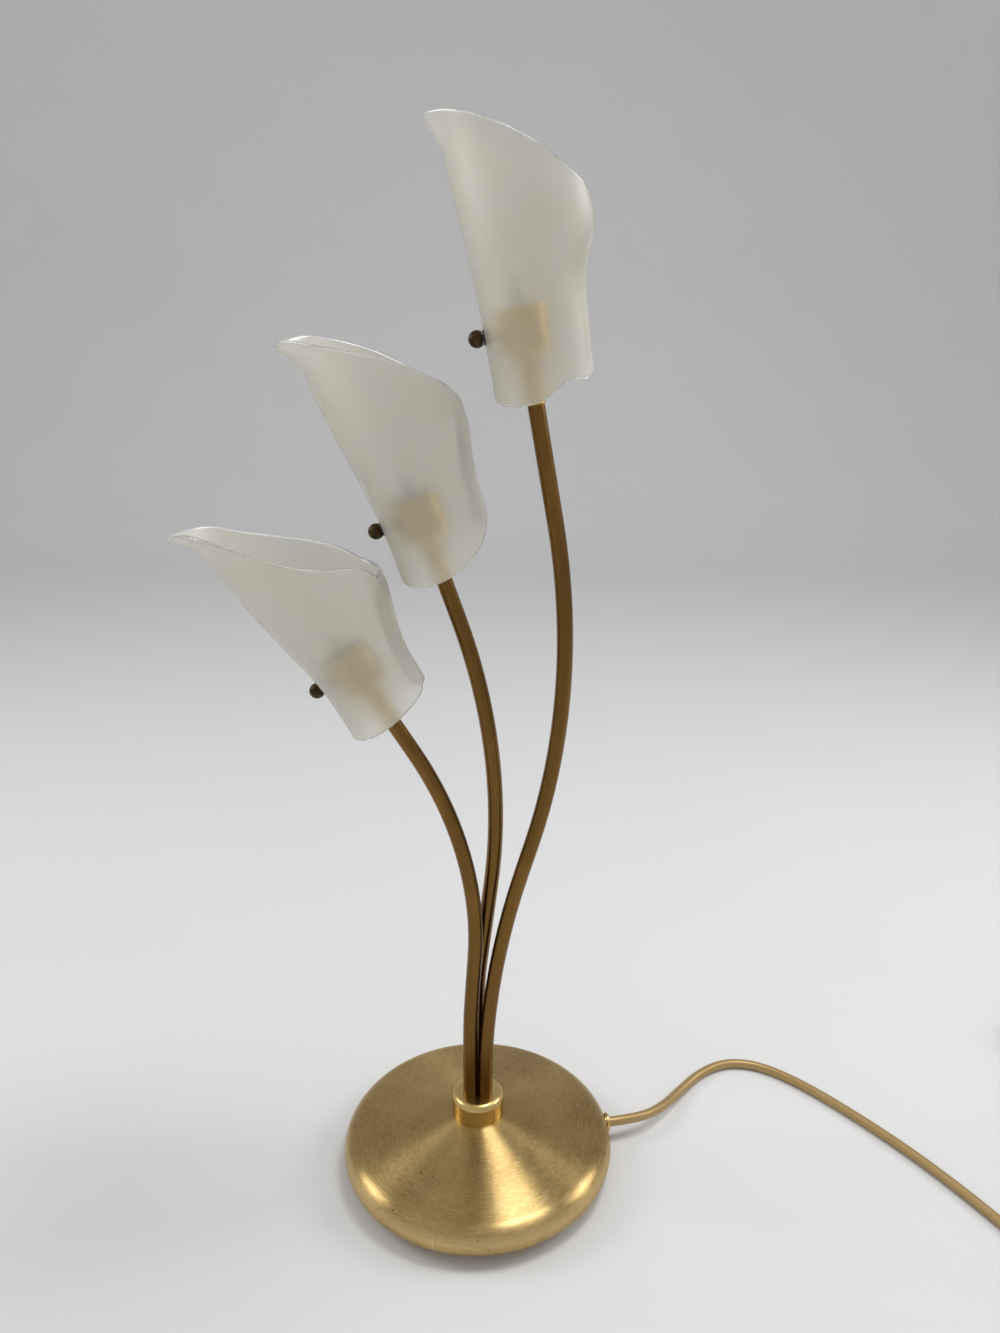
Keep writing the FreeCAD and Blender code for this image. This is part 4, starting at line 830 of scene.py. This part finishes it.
class LAMP_OT_set_stage(bpy.types.Operator):
    """Floor, backdrop, soft lights and the photograph's camera"""
    bl_idname = "lamp.set_stage"
    bl_label = "Set stage"

    def execute(self, context):
        stage = context.scene.lamp_stage
        self.camera(context)
        self.sweep(context, stage)
        for name, (place, aim, side) in SOFT_LIGHTS.items():
            power = stage.key_power if name == "top" else stage.fill_power
            self.soft_light(context, name, place, aim, side, power)
        world = bpy.data.worlds.new("even_light")
        world.use_nodes = True
        nodes = Nodes(world.node_tree)
        light = nodes.add("ShaderNodeBackground", None,
                          {"Color": paint(1, 1, 1), "Strength": stage.world})
        nodes.add("ShaderNodeOutputWorld", None, {"Surface": light}, None)
        context.scene.world = world
        context.scene.view_settings.view_transform = "Standard"
        return {"FINISHED"}

    @staticmethod
    def camera(context):
        data = bpy.data.cameras.new("photo_view")
        data.sensor_width = SENSOR
        data.lens = SENSOR * FOCAL_PIXELS / PHOTO_HEIGHT
        data.clip_start = 0.01
        camera = bpy.data.objects.new("photo_view", data)
        tilt = Matrix.Rotation(math.radians(90.0 - CAMERA_PITCH), 4, "X")
        roll = Matrix.Rotation(math.radians(CAMERA_ROLL), 4, "Z")
        camera.matrix_world = Matrix.Translation(Vector(CAMERA_PLACE) * MM) @ tilt @ roll
        context.scene.collection.objects.link(camera)
        context.scene.camera = camera

    @staticmethod
    def sweep(context, stage):
        """Floor that bends up into a backdrop behind the lamp."""
        profile = [(SWEEP_FRONT, 0.0)]
        for i in range(SWEEP_STEPS + 1):
            angle = math.radians(90 / SWEEP_STEPS * i)
            profile.append((SWEEP_BEND_FROM + SWEEP_BEND * math.sin(angle),
                            SWEEP_BEND - SWEEP_BEND * math.cos(angle)))
        profile.append((SWEEP_BEND_FROM + SWEEP_BEND, SWEEP_TOP))
        vertices = [(side * SWEEP_HALF_WIDTH, y, z) for y, z in profile for side in (-1, 1)]
        faces = [(2 * i, 2 * i + 1, 2 * i + 3, 2 * i + 2) for i in range(len(profile) - 1)]
        mesh = bpy.data.meshes.new("studio_sweep")
        mesh.from_pydata(vertices, [], faces)
        for polygon in mesh.polygons:
            polygon.use_smooth = True
        finish = Finish("studio_paper")
        n = finish.nodes
        grain = n.noise(finish.place, 6.0, 2.0)
        darker = paint(*[part * 0.97 for part in stage.floor[:3]])
        paper = finish.write(Base_Color=n.mix(grain, stage.floor, darker), Roughness=0.9)
        mesh.materials.append(paper)
        piece = bpy.data.objects.new("studio_sweep", mesh)
        context.scene.collection.objects.link(piece)

    @staticmethod
    def soft_light(context, name, place, aim, size, power):
        data = bpy.data.lights.new(name + "_light", "AREA")
        data.shape = "SQUARE"
        data.size = size
        data.energy = power
        light = bpy.data.objects.new(name + "_light", data)
        light.location = place
        light.rotation_euler = (Vector(aim) - Vector(place)).to_track_quat("-Z", "Y").to_euler()
        context.scene.collection.objects.link(light)


class LAMP_OT_lay_cord(LampOperator, bpy.types.Operator):
    """Gold mains lead from the base to the plug, with its ribbed bend reliefs"""
    bl_idname = "lamp.lay_cord"
    bl_label = "Lay cord"

    def execute(self, context):
        sizes = context.scene.lamp_cord
        colours = context.scene.lamp_colours
        points = cord_route()
        sheath = gold_sheath(colours)
        cord = route_curve("mains_lead", points, sizes.diameter / 2)
        cord.data.materials.append(sheath)
        self.settle(cord, "lamp", "gold_sheath", "cord_lead", "cord_link", "cord_coil", "cord_tail")
        reliefs = self.reliefs(sizes, points)
        NODES["cord_end"].data.materials[0] = sheath
        return {"FINISHED"}

    def reliefs(self, sizes, points):
        """Thick end at the housing: into the switch, out of it and into the plug."""
        line_mesh, places, lengths = centreline(points)
        into = length_at(Vector(SWITCH_IN) * MM, places, lengths)
        out = into + (Vector(SWITCH_OUT) - Vector(SWITCH_IN)).length * MM
        plug = lengths[-1]
        rubber = moulded("relief_plastic", paint(0.30, 0.20, 0.09), 0.42, coat=0.1)
        nodes, identifiers = relief_tree()
        made = []
        thick = sizes.relief_radius
        thin = sizes.diameter / 2 + RELIEF_SKIN
        for name, start, end, first, last in (
                ("relief_into_switch", into - sizes.relief, into + RELIEF_BITE, thin, thick),
                ("relief_out_of_switch", out - RELIEF_BITE, out + sizes.relief, thick, thin),
                ("relief_into_plug", plug - sizes.relief, plug, thin, thick)):
            piece = grow(name, line_mesh.copy(), nodes, identifiers, {
                "Start": start, "End": end, "Radius at start": first, "Radius at end": last,
                "Ribs": sizes.ribs, "Rib thickness": RIB_THICKNESS, "Material": rubber})
            self.settle(piece, "lamp", "gold_plastic")
            made.append(piece)
        return made


class LAMP_OT_roll_shades(LampOperator, bpy.types.Operator):
    """Three rolled glass tulip shades, from the sheet's own rule"""
    bl_idname = "lamp.roll_shades"
    bl_label = "Roll shades"

    def execute(self, context):
        sizes = context.scene.lamp_glass
        glass = satin_glass(context.scene.lamp_colours)
        for arm in ARMS:
            nodes, identifiers = sheet_tree(arm)
            drill = self.make_drill(arm)
            piece = grow("glass_" + arm, bpy.data.meshes.new("sheet"), nodes, identifiers, {
                "Columns": sizes.columns, "Rows": sizes.rows, "Wall": sizes.wall,
                "Bead rows": sizes.bead_rows, "Seam gap": sizes.seam_gap, "Material": glass},
                after=partial(self.drill_wall, drill), matrix=arm_matrix(arm))
            bpy.data.objects.remove(drill)
            self.settle(piece, "shade_" + arm, "opal_glass", "shade_" + arm)
        return {"FINISHED"}

    @staticmethod
    def drill_wall(drill, seed):
        """The screw's hole."""
        hole = seed.modifiers.new("screw_hole", "BOOLEAN")
        hole.operation = "DIFFERENCE"
        hole.solver = "EXACT"
        hole.object = drill

    @staticmethod
    def make_drill(arm):
        """Round cutter along the screw's axis, in the arm's own frame."""
        sides = DRILL_SIDES
        vertices = []
        for x in (DRILL_FROM, DRILL_TO):
            for i in range(sides):
                angle = 2 * math.pi * i / sides
                vertices.append((x * MM, GLASS_HOLE * math.cos(angle) * MM,
                                 (SCREW_HEIGHT + GLASS_HOLE * math.sin(angle)) * MM))
        faces = [tuple(reversed(range(sides))), tuple(range(sides, 2 * sides))]
        faces += [(i, (i + 1) % sides, sides + (i + 1) % sides, sides + i) for i in range(sides)]
        mesh = bpy.data.meshes.new("drill_" + arm)
        mesh.from_pydata(vertices, [], faces)
        cutter = bpy.data.objects.new("drill_" + arm, mesh)
        bpy.context.scene.collection.objects.link(cutter)
        return cutter


class LAMP_OT_wind_filaments(LampOperator, bpy.types.Operator):
    """Coiled wire inside each capsule bulb"""
    bl_idname = "lamp.wind_filaments"
    bl_label = "Wind filaments"

    def execute(self, context):
        wire = tungsten_wire()
        nodes, identifiers = filament_tree()
        for arm in ARMS:
            lift = Matrix.Translation((0.0, 0.0, FILAMENT_HEIGHT * MM))
            piece = grow("filament_" + arm, bpy.data.meshes.new("coil"), nodes, identifiers,
                         {"Material": wire}, matrix=arm_matrix(arm) @ lift)
            self.settle(piece, "lamp", "steel")
        return {"FINISHED"}


class LampPaintOperator:
    """Shared by the operators that paint CAD nodes: each node's slot gets the finish for it."""

    @staticmethod
    def dress(finishes):
        for node in NODES.values():
            for index, material in enumerate(node.data.materials):
                if material is not None and material.name in finishes:
                    node.data.materials[index] = finishes[material.name]


class LAMP_OT_finish_brass(LampPaintOperator, bpy.types.Operator):
    """Brass, bronze and steel finishes"""
    bl_idname = "lamp.finish_brass"
    bl_label = "Finish metal"

    def execute(self, context):
        colours = context.scene.lamp_colours
        self.dress({
            "aged_brass": lathe_brass(colours),
            "polished_brass": bright_brass(colours),
            "bronze_tube": bronze_tube(colours),
            "dark_brass": dark_brass(colours),
            "steel": plated_steel("zinc_plate", paint(0.56, 0.56, 0.57), 0.36),
            "pin_metal": plated_steel("nickel_plate", paint(0.66, 0.64, 0.60), 0.24),
            "iron": cast_iron(paint(0.13, 0.13, 0.14)),
        })
        return {"FINISHED"}


class LAMP_OT_finish_mouldings(LampPaintOperator, bpy.types.Operator):
    """Bulb glass, ceramic, rubber, plastic and felt finishes"""
    bl_idname = "lamp.finish_mouldings"
    bl_label = "Finish mouldings"

    def execute(self, context):
        self.dress({
            "bulb_glass": clear_glass(),
            "ceramic": moulded("glazed_ceramic", paint(0.86, 0.84, 0.78), 0.16, 300.0, coat=0.5),
            "black_rubber": moulded("black_bush", paint(0.035, 0.033, 0.03), 0.55),
            "felt": felt_cloth(paint(0.04, 0.055, 0.04)),
            "white_plastic": moulded("terminal_plastic", paint(0.80, 0.80, 0.76), 0.40),
            "core_plastic": moulded("core_insulation", paint(0.30, 0.17, 0.09), 0.35),
            "lead_plastic": moulded("lead_insulation", paint(0.70, 0.66, 0.52), 0.35),
            "gold_plastic": moulded("gold_moulding", paint(0.36, 0.25, 0.11), 0.34, coat=0.15,
                                    metallic=0.45),
            "rocker_plastic": moulded("rocker_moulding", paint(0.05, 0.035, 0.02), 0.28, coat=0.2),
        })
        return {"FINISHED"}


class LAMP_PT_lamp(bpy.types.Panel):
    """Sizes, colours and steps of the lamp"""
    bl_idname = "LAMP_PT_lamp"
    bl_label = "Tulip shade table lamp"
    bl_space_type = "VIEW_3D"
    bl_region_type = "UI"
    bl_category = "Lamp"

    def draw(self, context):
        layout = self.layout
        for group in GROUPS:
            holder = getattr(context.scene, group)
            box = layout.box()
            for name in holder.bl_rna.properties.keys():
                if name not in ("rna_type", "name"):
                    box.prop(holder, name)
        for operator in STEPS:
            layout.operator(operator.bl_idname)


GROUPS = {
    "lamp_glass": LampGlassSizes,
    "lamp_cord": LampCordSizes,
    "lamp_colours": LampColours,
    "lamp_stage": LampStage,
}
STEPS = (LAMP_OT_set_stage, LAMP_OT_lay_cord, LAMP_OT_roll_shades, LAMP_OT_wind_filaments,
         LAMP_OT_finish_brass, LAMP_OT_finish_mouldings)
CLASSES = tuple(GROUPS.values()) + STEPS + (LAMP_PT_lamp,)


def register():
    for item in CLASSES:
        bpy.utils.register_class(item)
    for name, group in GROUPS.items():
        setattr(bpy.types.Scene, name, bpy.props.PointerProperty(type=group))


def unregister():
    for name in GROUPS:
        delattr(bpy.types.Scene, name)
    for item in reversed(CLASSES):
        bpy.utils.unregister_class(item)


def main():
    register()
    bpy.ops.lamp.set_stage()
    bpy.ops.lamp.lay_cord()
    bpy.ops.lamp.roll_shades()
    bpy.ops.lamp.wind_filaments()
    bpy.ops.lamp.finish_brass()
    bpy.ops.lamp.finish_mouldings()
    bpy.context.view_layer.update()


if __name__ == "__main__":
    main()
